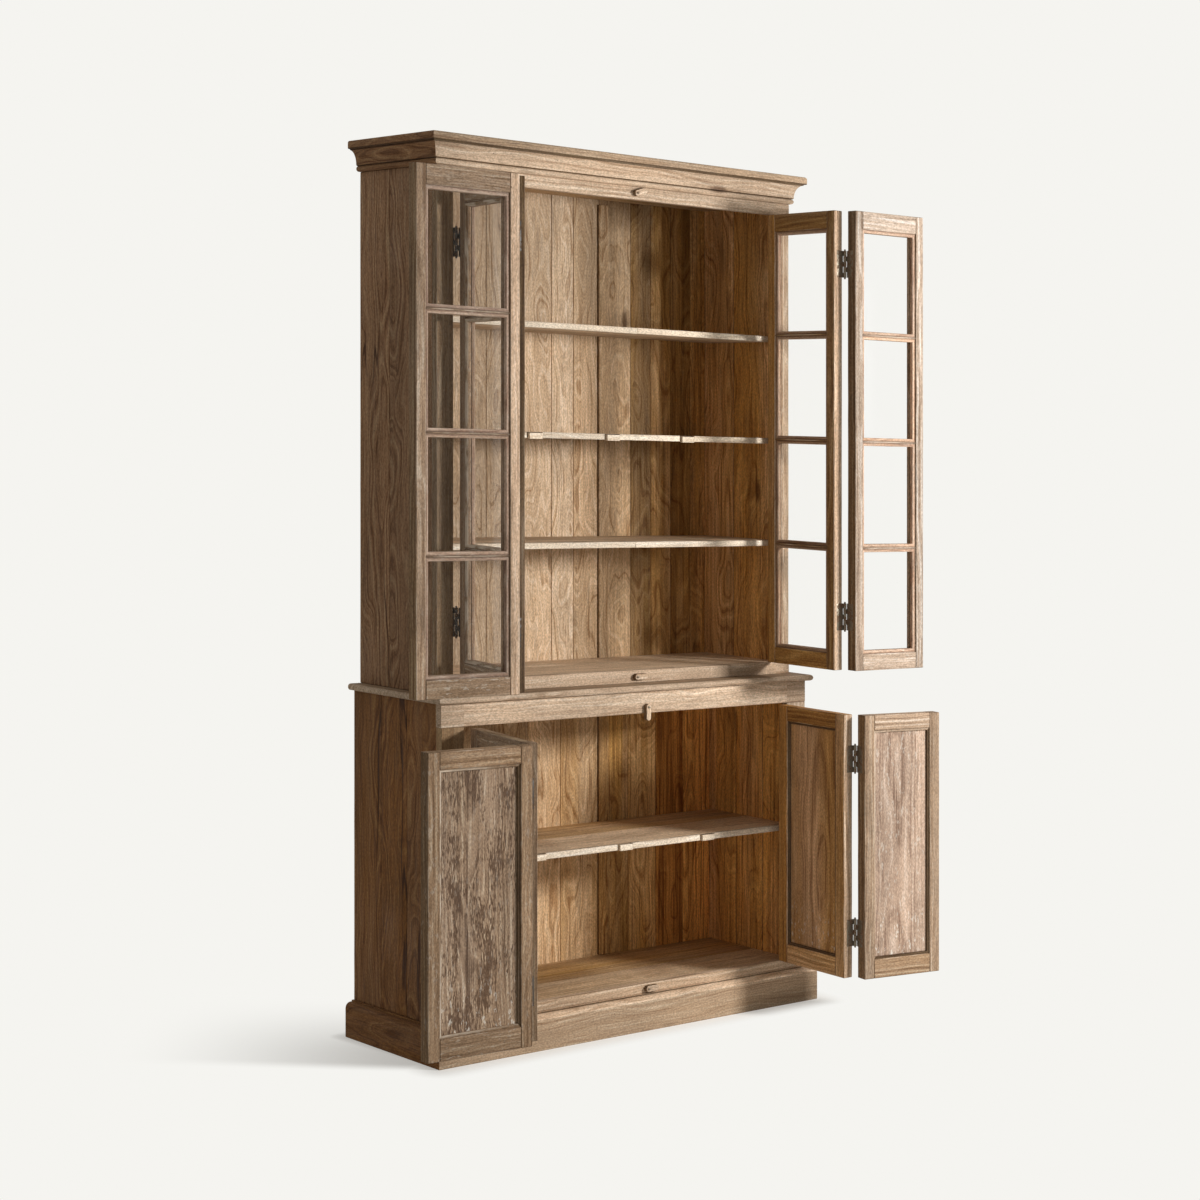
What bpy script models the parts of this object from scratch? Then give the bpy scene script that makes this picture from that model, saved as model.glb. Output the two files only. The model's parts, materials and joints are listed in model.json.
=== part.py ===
"""Glazed display cabinet on a panelled cupboard, with four folding pairs of doors.

Metres, +Z up, X to the right; the front faces -Y. The origin lies on the floor in the
middle of the plinth's footprint. The doors stand open at rest.
"""
import math

import bmesh
import bpy

# Carcass, each size by itself
PLINTH_H = 0.097
LOWER_H = 0.831
WAIST_T = 0.018
UPPER_H = 1.373
CORNICE_H = 0.081
UPPER_W = 1.290
UPPER_D = 0.344
LOWER_STEP = 0.020
LOWER_D = 0.390

# Boards
SIDE_T = 0.022
SIDE_SET = 0.002
FRAME_T = 0.022
BOARD_T = 0.018
SHELF_T = 0.017
BACK_T = 0.012
HOUSING = 0.006
JOINT = 0.0003

# Plank backs with one rounded cover batten; the planks are of mixed widths
UPPER_PLANK_JOINTS = (-0.47, -0.36, -0.22, -0.10, 0.017, 0.099, 0.32, 0.40, 0.48, 0.56)
LOWER_PLANK_JOINTS = (-0.47, -0.33, -0.20, -0.07, 0.05, 0.31, 0.42, 0.53)
GROOVE_W = 0.005
GROOVE_D = 0.003
BATTEN_X = 0.210
BATTEN_W = 0.040
BATTEN_T = 0.008
BATTEN_STEPS = 6

# Plinth, waist board and cornice mouldings
PLINTH_PROUD = 0.025
PLINTH_T = 0.026
PLINTH_MOULD = 0.016
PLINTH_BACK_SET = 0.001
BEARER_W = 0.060
WAIST_PROUD = 0.017
CORNICE_PROUD = 0.0375
CORNICE_SEAT = 0.024
FASCIA_H = 0.0225
FASCIA_EASE = 0.003
FASCIA_ROUND = 0.007
QUIRK_H = 0.0025
QUIRK_DEEP = 0.007
FOOT_PROUD = 0.010
FOOT_BEAD_R = 0.0075
FILLET = 0.004
ARC_STEPS = 5

# Door openings
UPPER_STILE = 0.0545
MEETING_X = 0.041
MEETING_GAP = 0.003
DOOR_CLEAR = 0.003
UPPER_BOTTOM_RAIL = 0.035
UPPER_TOP_RAIL = 0.036
LOWER_BOTTOM_RAIL = 0.026
LOWER_TOP_RAIL = 0.061

# Door leaves
LEAF_T = 0.032
LEAF_STILE = 0.039
GLAZED_TOP = 0.060
GLAZED_BOTTOM = 0.056
BAR_W = 0.023
LIGHTS = 4
BEAD_W = 0.010
BEAD_STEP = 0.004
OVOLO = 0.007
OVOLO_STEPS = 3
GLASS_T = 0.003
GLASS_EDGE = 0.006
PANEL_STILE = 0.042
PANEL_TOP = 0.050
PANEL_BOTTOM = 0.060
PANEL_T = 0.012
PANEL_TONGUE = 0.007
PANEL_EDGE = 0.008
PANEL_FIELD = 0.030
# The left-hand glazed leaves are planed shorter at the top
LEFT_PLANED = 0.010

# Shelves; two of them keep the notches of an earlier use in their front edges
SHELF_CLEAR = 0.006
LOWER_SHELF_Z = 0.489
NOTCH_W = 0.011
NOTCH_D = 0.010
UPPER_NOTCHES = (-0.308, -0.031, 0.251)
LOWER_NOTCHES = (-0.334, -0.024, 0.286)
NOTCHED_SHELF = 2

# Iron butt hinges
HINGE_L = 0.076
KNUCKLES = 5
BARREL_R = 0.0045
PIN_R = 0.0022
PIN_CLEAR = 0.0005
BARREL_SIDES = 10
HINGE_GAP = 0.0025
HINGE_PROUD = 0.0087
PLATE_T = 0.002
PLATE_W = 0.030
PLATE_PROUD = 0.0002
KNUCKLE_CLEAR = 0.0007
UPPER_HINGE_INSET = 0.150
LOWER_HINGE_INSET = 0.125

# Wooden turn buttons
BUTTON_L = 0.046
BUTTON_W = 0.017
BUTTON_T = 0.012
BUTTON_EDGE = 0.018
BUTTON_CLEAR = 0.0006
BUTTON_STEPS = 8
SCREW_R = 0.0022
SCREW_HEAD_R = 0.0045
SCREW_HEAD_T = 0.002
SCREW_SIDES = 10

# How far each leaf stands open at rest, in degrees: inner leaf, then the outer leaf on it
OPEN_UPPER_LEFT = (102.0, 80.0)
OPEN_UPPER_RIGHT = (89.0, 88.0)
OPEN_LOWER_LEFT = (101.5, 81.0)
OPEN_LOWER_RIGHT = (87.5, 83.5)
# Turn of each button at rest, from pointing right, in degrees
TURN_UPPER_TOP = 15.0
TURN_UPPER_BOTTOM = 0.0
TURN_LOWER_TOP = -90.0
TURN_LOWER_BOTTOM = 0.0

# Widths, levels and planes that follow from the sizes above
LOWER_W = UPPER_W + 2 * LOWER_STEP
OPENING_W = UPPER_W - 2 * UPPER_STILE
BACK_Y = (LOWER_D + PLINTH_PROUD) / 2
LOWER_FRONT = BACK_Y - LOWER_D
UPPER_FRONT = BACK_Y - UPPER_D
WAIST_Z = PLINTH_H + LOWER_H
UPPER_Z = WAIST_Z + WAIST_T
TOP_Z = UPPER_Z + UPPER_H
LOWER_OPENING = (PLINTH_H + LOWER_BOTTOM_RAIL, WAIST_Z - LOWER_TOP_RAIL)
UPPER_OPENING = (UPPER_Z + UPPER_BOTTOM_RAIL, TOP_Z - UPPER_TOP_RAIL)
LOWER_LEAF = (LOWER_OPENING[0] + DOOR_CLEAR, LOWER_OPENING[1] - DOOR_CLEAR)
UPPER_LEAF = (UPPER_OPENING[0] + DOOR_CLEAR, UPPER_OPENING[1] - DOOR_CLEAR)
LOWER_INSIDE = LOWER_W / 2 - SIDE_SET - SIDE_T
UPPER_INSIDE = UPPER_W / 2 - SIDE_SET - SIDE_T
AXIS_X = OPENING_W / 2 - HINGE_GAP
# The upper leaves by hand: 1 is the left, -1 the right
UPPER_LEAVES = {1: (UPPER_LEAF[0], UPPER_LEAF[1] - LEFT_PLANED), -1: UPPER_LEAF}

BUTTON_Z = {
    "upper_top": UPPER_OPENING[1] + min(BUTTON_EDGE, UPPER_TOP_RAIL / 2),
    "upper_bottom": UPPER_OPENING[0] - min(BUTTON_EDGE, UPPER_BOTTOM_RAIL / 2),
    "lower_top": LOWER_OPENING[1] + min(BUTTON_EDGE, LOWER_TOP_RAIL / 2),
    "lower_bottom": LOWER_OPENING[0] - min(BUTTON_EDGE, LOWER_BOTTOM_RAIL / 2),
}

WOOD = (0.47, 0.34, 0.22)
DOOR_WOOD = (0.36, 0.28, 0.21)
IRON = (0.05, 0.045, 0.04)
GLASS = (0.85, 0.90, 0.88)


def clear_scene():
    for obj in list(bpy.data.objects):
        bpy.data.objects.remove(obj, do_unlink=True)


def finish(name, colour, roughness, metallic=0.0, transmission=0.0):
    """A material with one Principled shader."""
    material = bpy.data.materials.new(name)
    material.use_nodes = True
    shader = material.node_tree.nodes["Principled BSDF"]
    shader.inputs["Base Color"].default_value = (*colour, 1.0)
    shader.inputs["Roughness"].default_value = roughness
    shader.inputs["Metallic"].default_value = metallic
    shader.inputs["Transmission Weight"].default_value = transmission
    material.diffuse_color = (*colour, 1.0)
    return material


# Shapes


def box(x, y, z, less=0.0):
    """A box between pairs of limits, drawn smaller by less on every face."""
    bm = bmesh.new()
    bmesh.ops.create_cube(bm, size=1.0)
    for vert in bm.verts:
        for axis, (low, high) in enumerate((x, y, z)):
            vert.co[axis] = low + less if vert.co[axis] < 0 else high - less
    return bm


def loft(rings):
    """A solid skin through rings of equally many points, capped at both ends."""
    bm = bmesh.new()
    loops = [[bm.verts.new(point) for point in ring] for ring in rings]
    bm.faces.new(loops[0][::-1])
    bm.faces.new(loops[-1])
    count = len(loops[0])
    for near, far in zip(loops, loops[1:]):
        for i in range(count):
            j = (i + 1) % count
            bm.faces.new((near[i], near[j], far[j], far[i]))
    bmesh.ops.recalc_face_normals(bm, faces=bm.faces)
    return bm


def rectangle(x, z, y, grow):
    """A ring in the plane y, wider than the limits x and z by grow."""
    return [
        (x[0] - grow, y, z[0] - grow),
        (x[1] + grow, y, z[0] - grow),
        (x[1] + grow, y, z[1] + grow),
        (x[0] - grow, y, z[1] + grow),
    ]


def cylinder(radius, sides, z):
    """An upright prism on the origin's axis, with a flat turned to each side."""
    half_step = math.pi / sides
    ring = [
        (radius * math.cos(half_step * (2 * i + 1)), radius * math.sin(half_step * (2 * i + 1)))
        for i in range(sides)
    ]
    return loft([[(px, py, level) for px, py in ring] for level in z])


def boolean(body, tools, operation):
    """body joined with, cut by or kept within each tool; the tools are used up."""
    holders = []
    for bm in (body, *tools):
        mesh = bpy.data.meshes.new("shape")
        bm.to_mesh(mesh)
        bm.free()
        holder = bpy.data.objects.new("shape", mesh)
        bpy.context.scene.collection.objects.link(holder)
        holders.append(holder)
    for tool in holders[1:]:
        modifier = holders[0].modifiers.new("shape", "BOOLEAN")
        modifier.operation = operation
        modifier.object = tool
    graph = bpy.context.evaluated_depsgraph_get()
    evaluated = holders[0].evaluated_get(graph)
    result = bmesh.new()
    result.from_mesh(evaluated.to_mesh())
    evaluated.to_mesh_clear()
    for holder in holders:
        mesh = holder.data
        bpy.data.objects.remove(holder)
        bpy.data.meshes.remove(mesh)
    return result


def moved(bm, x=0.0, y=0.0, z=0.0):
    bmesh.ops.translate(bm, verts=bm.verts, vec=(x, y, z))
    return bm


def handed(bm, hand):
    """The shape as drawn for the left (hand 1), or its mirror image for the right (hand -1)."""
    if hand < 0:
        for vert in bm.verts:
            vert.co.x = -vert.co.x
        bmesh.ops.reverse_faces(bm, faces=bm.faces)
    return bm


def arc(centre, radius, start, end, steps):
    """Points along an ellipse's arc; centre and radius are pairs, the angles are in degrees."""
    points = []
    for i in range(steps + 1):
        angle = math.radians(start + (end - start) * i / steps)
        points.append((
            centre[0] + radius[0] * math.cos(angle),
            centre[1] + radius[1] * math.sin(angle),
        ))
    return points


def node(name, bm, material, parent=None):
    """One named piece; its mesh is drawn in its parent's space."""
    mesh = bpy.data.meshes.new(name)
    bm.to_mesh(mesh)
    bm.free()
    mesh.materials.append(material)
    piece = bpy.data.objects.new(name, mesh)
    piece.parent = parent
    bpy.context.scene.collection.objects.link(piece)
    return piece


def pivot(name, place, parent=None, turn=(0.0, 0.0, 0.0)):
    """An empty on a joint's axis, turned to the rest pose; turn is in degrees."""
    empty = bpy.data.objects.new(name, None)
    empty.parent = parent
    empty.location = place
    empty.rotation_euler = [math.radians(angle) for angle in turn]
    bpy.context.scene.collection.objects.link(empty)
    return empty


# Iron hinges, drawn round the origin: barrel upright, fixed half towards -X, plates towards +Y


def knuckle_span(index):
    length = HINGE_L / KNUCKLES
    low = -HINGE_L / 2 + index * length
    return low + JOINT, low + length - JOINT


def hinge_plate(side, own):
    """A plate whose tabs reach the barrel at its own knuckles only."""
    inner = side * (HINGE_GAP - PLATE_PROUD)
    outer = side * (HINGE_GAP + PLATE_T)
    x = (min(inner, outer), max(inner, outer))
    clear = BARREL_R + KNUCKLE_CLEAR
    plate = box(x, (clear, PLATE_W), (-HINGE_L / 2 + JOINT, HINGE_L / 2 - JOINT))
    tabs = [box(x, (0.0, clear + PLATE_T), knuckle_span(i)) for i in own]
    return boolean(plate, tabs, "UNION")


def fixed_hinge_half():
    own = range(0, KNUCKLES, 2)
    knuckles = [cylinder(BARREL_R, BARREL_SIDES, knuckle_span(i)) for i in own]
    half = boolean(hinge_plate(-1, own), knuckles, "UNION")
    bore = cylinder(PIN_R + PIN_CLEAR, BARREL_SIDES, (-HINGE_L, HINGE_L))
    return boolean(half, [bore], "DIFFERENCE")


def moving_hinge_half():
    own = range(1, KNUCKLES, 2)
    knuckles = [cylinder(BARREL_R, BARREL_SIDES, knuckle_span(i)) for i in own]
    pin = cylinder(PIN_R, BARREL_SIDES, (-HINGE_L / 2, HINGE_L / 2))
    return boolean(hinge_plate(1, own), [*knuckles, pin], "UNION")


def hinge_levels(height, inset):
    return inset, height - inset


def hinge_recess(level):
    """The mortise that a moving half's plate lies in."""
    x = (HINGE_GAP - PLATE_T, HINGE_GAP + PLATE_T + JOINT)
    y = (HINGE_PROUD - PLATE_T, PLATE_W + JOINT)
    return box(x, y, (level - HINGE_L / 2 - JOINT, level + HINGE_L / 2 + JOINT))


# Carcass pieces


def board(name, x, y, z, material):
    return node(name, box(x, y, z, JOINT), material)


def side(name, hand, half_width, front, z, housings, material):
    """A side with a groove for the end of each shelf and board."""
    outside = half_width - SIDE_SET
    x = (outside - SIDE_T, outside)
    panel = box(x, (front + FRAME_T, BACK_Y), z, JOINT)
    cuts = [
        box((x[0] - HOUSING, x[0] + HOUSING), (y0 - JOINT, y1 + JOINT), levels)
        for (y0, y1), levels in housings
    ]
    return node(name, handed(boolean(panel, cuts, "DIFFERENCE"), hand), material)


def back_outline(half_width, joints):
    """The back seen from above: planks with grooved joints on the room side."""
    face = BACK_Y - BACK_T
    edge = half_width - JOINT
    points = [(edge, BACK_Y - JOINT), (-edge, BACK_Y - JOINT), (-edge, face)]
    for joint in joints:
        covered = abs(joint - BATTEN_X) < BATTEN_W / 2 + GROOVE_W
        if covered or edge - abs(joint) < 2 * GROOVE_W:
            continue
        points += [
            (joint - GROOVE_W / 2, face),
            (joint, face + GROOVE_D),
            (joint + GROOVE_W / 2, face),
        ]
    points.append((edge, face))
    return points


def plank_back(name, half_width, joints, z, batten_z, material):
    outline = back_outline(half_width, joints)
    planks = loft([[(px, py, level) for px, py in outline] for level in (z[0] + JOINT, z[1] - JOINT)])
    face = BACK_Y - BACK_T
    rounded = arc((BATTEN_X, face + JOINT), (BATTEN_W / 2, BATTEN_T), 180, 360, BATTEN_STEPS)
    rounded += [(BATTEN_X + BATTEN_W / 2, face + BACK_T / 2), (BATTEN_X - BATTEN_W / 2, face + BACK_T / 2)]
    batten = loft([
        [(px, py, level) for px, py in rounded] for level in (batten_z[0] + JOINT, batten_z[1] - JOINT)
    ])
    return node(name, boolean(planks, [batten], "UNION"), material)


def stile(name, hand, half_width, front, z, leaf, inset, material):
    """A face-frame stile that carries the fixed halves of its two hinges."""
    post = box((-half_width, -OPENING_W / 2), (front, front + FRAME_T), z, JOINT)
    halves = [
        moved(fixed_hinge_half(), -AXIS_X, front - HINGE_PROUD, leaf[0] + level)
        for level in hinge_levels(leaf[1] - leaf[0], inset)
    ]
    # the post's inner edge is the opening itself, so the plates lie flush in it
    return node(name, handed(boolean(post, halves, "UNION"), hand), material)


def rail(name, front, z, pivot_z, material):
    """A face-frame rail with the pivot screw of its turn button."""
    bar = box((-OPENING_W / 2, OPENING_W / 2), (front, front + FRAME_T), z, JOINT)
    reach = BUTTON_CLEAR + BUTTON_T + BUTTON_CLEAR
    shank = cylinder(SCREW_R, SCREW_SIDES, (-FRAME_T / 2, reach + SCREW_HEAD_T / 2))
    head = cylinder(SCREW_HEAD_R, SCREW_SIDES, (reach, reach + SCREW_HEAD_T))
    screw = boolean(shank, [head], "UNION")
    for vert in screw.verts:
        vert.co = (MEETING_X + vert.co.x, front - vert.co.z, pivot_z + vert.co.y)
    return node(name, boolean(bar, [screw], "UNION"), material)


def waist_board(material):
    """A board with a bullnose along its front and both ends."""
    radius = WAIST_T / 2 - JOINT
    rings = []
    for reach, lift in arc((WAIST_PROUD - radius, 0.0), (radius, radius), -90, 90, 2 * ARC_STEPS):
        x = LOWER_W / 2 + reach
        y = LOWER_FRONT - reach
        z = WAIST_Z + WAIST_T / 2 + lift
        rings.append([(-x, BACK_Y, z), (-x, y, z), (x, y, z), (x, BACK_Y, z)])
    return node("waist_board", loft(rings), material)


def cornice_profile():
    """Outline as (reach from the case, height): foot bead, cove, quirk, fascia with a rounded top."""
    bead_top = 2 * FOOT_BEAD_R + JOINT
    cove_low = bead_top + FILLET / 2
    fascia_low = CORNICE_H - FASCIA_H
    cove_high = fascia_low - QUIRK_H
    quirk_in = CORNICE_PROUD - QUIRK_DEEP
    bead_x = FOOT_PROUD - FOOT_BEAD_R
    points = [(-CORNICE_SEAT, JOINT)]
    points += arc((bead_x, FOOT_BEAD_R + JOINT), (FOOT_BEAD_R, FOOT_BEAD_R), -90, 75, ARC_STEPS)
    points += [(FOOT_PROUD - FILLET / 2, bead_top)]
    points += arc((quirk_in, cove_low), (quirk_in - FOOT_PROUD, cove_high - cove_low), 180, 90, ARC_STEPS)
    points += [
        (quirk_in, fascia_low),
        (CORNICE_PROUD - FASCIA_EASE, fascia_low),
        (CORNICE_PROUD, fascia_low + FASCIA_EASE),
    ]
    points += arc(
        (CORNICE_PROUD - FASCIA_ROUND, CORNICE_H - FASCIA_ROUND),
        (FASCIA_ROUND, FASCIA_ROUND),
        0, 90, ARC_STEPS,
    )
    points += [(-CORNICE_SEAT, CORNICE_H)]
    return points


def cornice(material):
    half = UPPER_W / 2
    profile = cornice_profile()
    rings = [
        [(-half - reach, BACK_Y, TOP_Z + lift) for reach, lift in profile],
        [(-half - reach, UPPER_FRONT - reach, TOP_Z + lift) for reach, lift in profile],
        [(half + reach, UPPER_FRONT - reach, TOP_Z + lift) for reach, lift in profile],
        [(half + reach, BACK_Y, TOP_Z + lift) for reach, lift in profile],
    ]
    return node("cornice", loft(rings), material)


def plinth(material):
    """A mitred frame with a moulded top edge, and a bearer under the middle of the floor."""
    half = LOWER_W / 2
    profile = [(-PLINTH_T, 0.0), (PLINTH_PROUD, 0.0)]
    profile += arc(
        (PLINTH_PROUD - PLINTH_MOULD, PLINTH_H - PLINTH_MOULD - FILLET),
        (PLINTH_MOULD, PLINTH_MOULD),
        0, 90, ARC_STEPS,
    )
    profile += [
        (PLINTH_PROUD - PLINTH_MOULD - FILLET, PLINTH_H - FILLET),
        (PLINTH_PROUD - PLINTH_MOULD - FILLET, PLINTH_H),
        (-PLINTH_T, PLINTH_H),
    ]
    rings = [
        [(-half - reach, BACK_Y, lift) for reach, lift in profile],
        [(-half - reach, LOWER_FRONT - reach, lift) for reach, lift in profile],
        [(half + reach, LOWER_FRONT - reach, lift) for reach, lift in profile],
        [(half + reach, BACK_Y, lift) for reach, lift in profile],
    ]
    lap = PLINTH_T / 2
    back_rail = box(
        (-half + lap, half - lap),
        (BACK_Y - PLINTH_T, BACK_Y - PLINTH_BACK_SET),
        (0.0, PLINTH_H - JOINT),
    )
    bearer = box(
        (-BEARER_W / 2, BEARER_W / 2),
        (LOWER_FRONT + lap, BACK_Y - lap),
        (0.0, PLINTH_H - 2 * JOINT),
    )
    return node("plinth", boolean(loft(rings), [back_rail, bearer], "UNION"), material)


def shelf_limits(front):
    return front + LEAF_T + SHELF_CLEAR, BACK_Y - BACK_T - BATTEN_T


def shelf(name, half_width, y, z, notches, material):
    """A shelf with notches through its front edge."""
    cuts = [
        box(
            (place - NOTCH_W / 2, place + NOTCH_W / 2),
            (y[0] - NOTCH_D, y[0] + NOTCH_D),
            (z[0] - NOTCH_D, z[1] + NOTCH_D),
        )
        for place in notches
    ]
    plank = box((-half_width, half_width), y, z, JOINT)
    return node(name, boolean(plank, cuts, "DIFFERENCE"), material)


def light_height(height):
    """The lights share what the rails and bars leave of a leaf's height."""
    return (height - GLAZED_TOP - GLAZED_BOTTOM - (LIGHTS - 1) * BAR_W) / LIGHTS


def upper_shelf_levels():
    """The shelves line up with the glazing bars of the left-hand leaves."""
    low, high = UPPER_LEAVES[1]
    light = light_height(high - low)
    levels = []
    for i in range(1, LIGHTS):
        bar = low + GLAZED_BOTTOM + i * light + (i - 0.5) * BAR_W
        levels.append((bar - SHELF_T / 2, bar + SHELF_T / 2))
    return levels


def lower_case(wood):
    z = (PLINTH_H, WAIST_Z)
    deep = (LOWER_FRONT + FRAME_T, BACK_Y - BACK_T)
    floor_z = (PLINTH_H, PLINTH_H + BOARD_T)
    shelf_z = (LOWER_SHELF_Z, LOWER_SHELF_Z + SHELF_T)
    reach = LOWER_INSIDE + HOUSING
    housings = [(deep, floor_z), (shelf_limits(LOWER_FRONT), shelf_z)]
    plinth(wood)
    board("lower_bottom_board", (-reach, reach), deep, floor_z, wood)
    shelf("lower_shelf", reach, shelf_limits(LOWER_FRONT), shelf_z, LOWER_NOTCHES, wood)
    for word, hand in (("left", -1), ("right", 1)):
        side(f"lower_side_{word}", hand, LOWER_W / 2, LOWER_FRONT, z, housings, wood)
        stile(
            f"lower_stile_{word}", -hand, LOWER_W / 2, LOWER_FRONT, z,
            LOWER_LEAF, LOWER_HINGE_INSET, wood,
        )
    plank_back("lower_back", LOWER_INSIDE, LOWER_PLANK_JOINTS, z, (floor_z[1], WAIST_Z), wood)
    rail("lower_bottom_rail", LOWER_FRONT, (PLINTH_H, LOWER_OPENING[0]), BUTTON_Z["lower_bottom"], wood)
    rail("lower_top_rail", LOWER_FRONT, (LOWER_OPENING[1], WAIST_Z), BUTTON_Z["lower_top"], wood)
    waist_board(wood)


def upper_case(wood):
    z = (UPPER_Z, TOP_Z)
    deep = (UPPER_FRONT + FRAME_T, BACK_Y - BACK_T)
    floor_z = (UPPER_OPENING[0] - BOARD_T, UPPER_OPENING[0])
    roof_z = (TOP_Z - BOARD_T, TOP_Z)
    reach = UPPER_INSIDE + HOUSING
    shelves = upper_shelf_levels()
    housings = [(deep, floor_z), (deep, roof_z)]
    housings += [(shelf_limits(UPPER_FRONT), levels) for levels in shelves]
    board("upper_bottom_board", (-reach, reach), deep, floor_z, wood)
    board("upper_top_board", (-reach, reach), deep, roof_z, wood)
    for number, levels in enumerate(shelves, 1):
        notches = UPPER_NOTCHES if number == NOTCHED_SHELF else ()
        shelf(f"upper_shelf_{number}", reach, shelf_limits(UPPER_FRONT), levels, notches, wood)
    for word, hand in (("left", -1), ("right", 1)):
        side(f"upper_side_{word}", hand, UPPER_W / 2, UPPER_FRONT, z, housings, wood)
        stile(
            f"upper_stile_{word}", -hand, UPPER_W / 2, UPPER_FRONT, z,
            UPPER_LEAVES[-hand], UPPER_HINGE_INSET, wood,
        )
    plank_back("upper_back", UPPER_INSIDE, UPPER_PLANK_JOINTS, z, (floor_z[1], roof_z[0]), wood)
    rail("upper_bottom_rail", UPPER_FRONT, (UPPER_Z, UPPER_OPENING[0]), BUTTON_Z["upper_bottom"], wood)
    rail("upper_top_rail", UPPER_FRONT, (UPPER_OPENING[1], TOP_Z), BUTTON_Z["upper_top"], wood)
    cornice(wood)


# Door leaves, drawn closed for the left: hinge axis on the origin, leaf towards +X, inside +Y


def light_cut(x, z, inner_grow, inner_step):
    """The cut for one light or panel: an ovolo outside, a bead step inside."""
    out = HINGE_PROUD
    rings = [rectangle(x, z, out - OVOLO, OVOLO)]
    for grow, depth in arc((OVOLO, OVOLO), (OVOLO, OVOLO), 270, 180, OVOLO_STEPS):
        rings.append(rectangle(x, z, out + depth, grow))
    inside = out + LEAF_T
    rings += [
        rectangle(x, z, inside - inner_step, 0.0),
        rectangle(x, z, inside - inner_step, inner_grow),
        rectangle(x, z, inside + OVOLO, inner_grow),
    ]
    return loft(rings)


def leaf_frame(width, height, lights, slot, levels, carries):
    """A leaf's frame: slab cut by its lights, a groove for glass or panel and the hinge mortises."""
    x = (HINGE_GAP, HINGE_GAP + width)
    slab = box(x, (HINGE_PROUD, HINGE_PROUD + LEAF_T), (0.0, height))
    cuts = [*lights, slot, *(hinge_recess(level) for level in levels)]
    frame = boolean(slab, cuts, "DIFFERENCE")
    if not carries:
        return frame
    axis = width + 2 * HINGE_GAP
    return boolean(frame, [moved(fixed_hinge_half(), axis, 0.0, level) for level in levels], "UNION")


def glazed_parts(width, height):
    """The light cuts, the groove and the pane of a glazed leaf."""
    x = (HINGE_GAP + LEAF_STILE, HINGE_GAP + width - LEAF_STILE)
    light = light_height(height)
    cuts = []
    for i in range(LIGHTS):
        low = GLAZED_BOTTOM + i * (light + BAR_W)
        cuts.append(light_cut(x, (low, low + light), BEAD_W, BEAD_STEP))
    middle = HINGE_PROUD + LEAF_T / 2
    pane_x = (x[0] - GLASS_EDGE, x[1] + GLASS_EDGE)
    pane_y = (middle - GLASS_T / 2, middle + GLASS_T / 2)
    pane_z = (GLAZED_BOTTOM - GLASS_EDGE, height - GLAZED_TOP + GLASS_EDGE)
    return cuts, box(pane_x, pane_y, pane_z, -JOINT), box(pane_x, pane_y, pane_z)


def panelled_parts(width, height):
    """The opening, the groove and the fielded panel of a lower leaf."""
    x = (HINGE_GAP + PANEL_STILE, HINGE_GAP + width - PANEL_STILE)
    z = (PANEL_BOTTOM, height - PANEL_TOP)
    middle = HINGE_PROUD + LEAF_T / 2
    back = middle + PANEL_T / 2
    tongue = back - PANEL_TONGUE
    slot = loft([
        rectangle(x, z, tongue - JOINT, PANEL_EDGE + JOINT),
        rectangle(x, z, back + JOINT, PANEL_EDGE + JOINT),
    ])
    panel = loft([
        rectangle(x, z, back - PANEL_T, -PANEL_FIELD),
        rectangle(x, z, tongue, -JOINT),
        rectangle(x, z, tongue, PANEL_EDGE),
        rectangle(x, z, back, PANEL_EDGE),
    ])
    return [light_cut(x, z, OVOLO, BEAD_STEP)], slot, panel


def leaf(name, hand, width, height, glazed, inset, carries, axis, looks):
    """One door leaf on its axis: frame, glass or panel, and its two moving hinge halves."""
    parts = glazed_parts if glazed else panelled_parts
    cuts, slot, filling = parts(width, height)
    levels = hinge_levels(height, inset)
    frame = leaf_frame(width, height, cuts, slot, levels, carries)
    node(f"{name}_frame", handed(frame, hand), looks["door"], axis)
    if glazed:
        node(f"{name}_glass", handed(filling, hand), looks["glass"], axis)
    else:
        node(f"{name}_panel", handed(filling, hand), looks["door"], axis)
    for word, level in zip(("lower", "upper"), levels):
        half = moved(moving_hinge_half(), 0.0, 0.0, level)
        node(f"{name}_hinge_{word}", handed(half, hand), looks["iron"], axis)


def leaf_width(hand):
    """Two equal leaves fill the way from the stile to the meeting line, less the hinge gaps."""
    way = OPENING_W / 2 + hand * MEETING_X - MEETING_GAP / 2
    return (way - 4 * HINGE_GAP) / 2


def folding_pair(name, hand, front, span, glazed, inset, angles, looks):
    """An inner leaf on the case's stile and an outer leaf folding on it."""
    width = leaf_width(hand)
    height = span[1] - span[0]
    inner_place = (-hand * AXIS_X, front - HINGE_PROUD, span[0])
    inner = pivot(f"{name}_inner_axis", inner_place, None, (0.0, 0.0, -hand * angles[0]))
    outer_place = (hand * (width + 2 * HINGE_GAP), 0.0, 0.0)
    outer = pivot(f"{name}_outer_axis", outer_place, inner, (0.0, 0.0, -hand * angles[1]))
    leaf(f"{name}_inner", hand, width, height, glazed, inset, True, inner, looks)
    leaf(f"{name}_outer", hand, width, height, glazed, inset, False, outer, looks)


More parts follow.
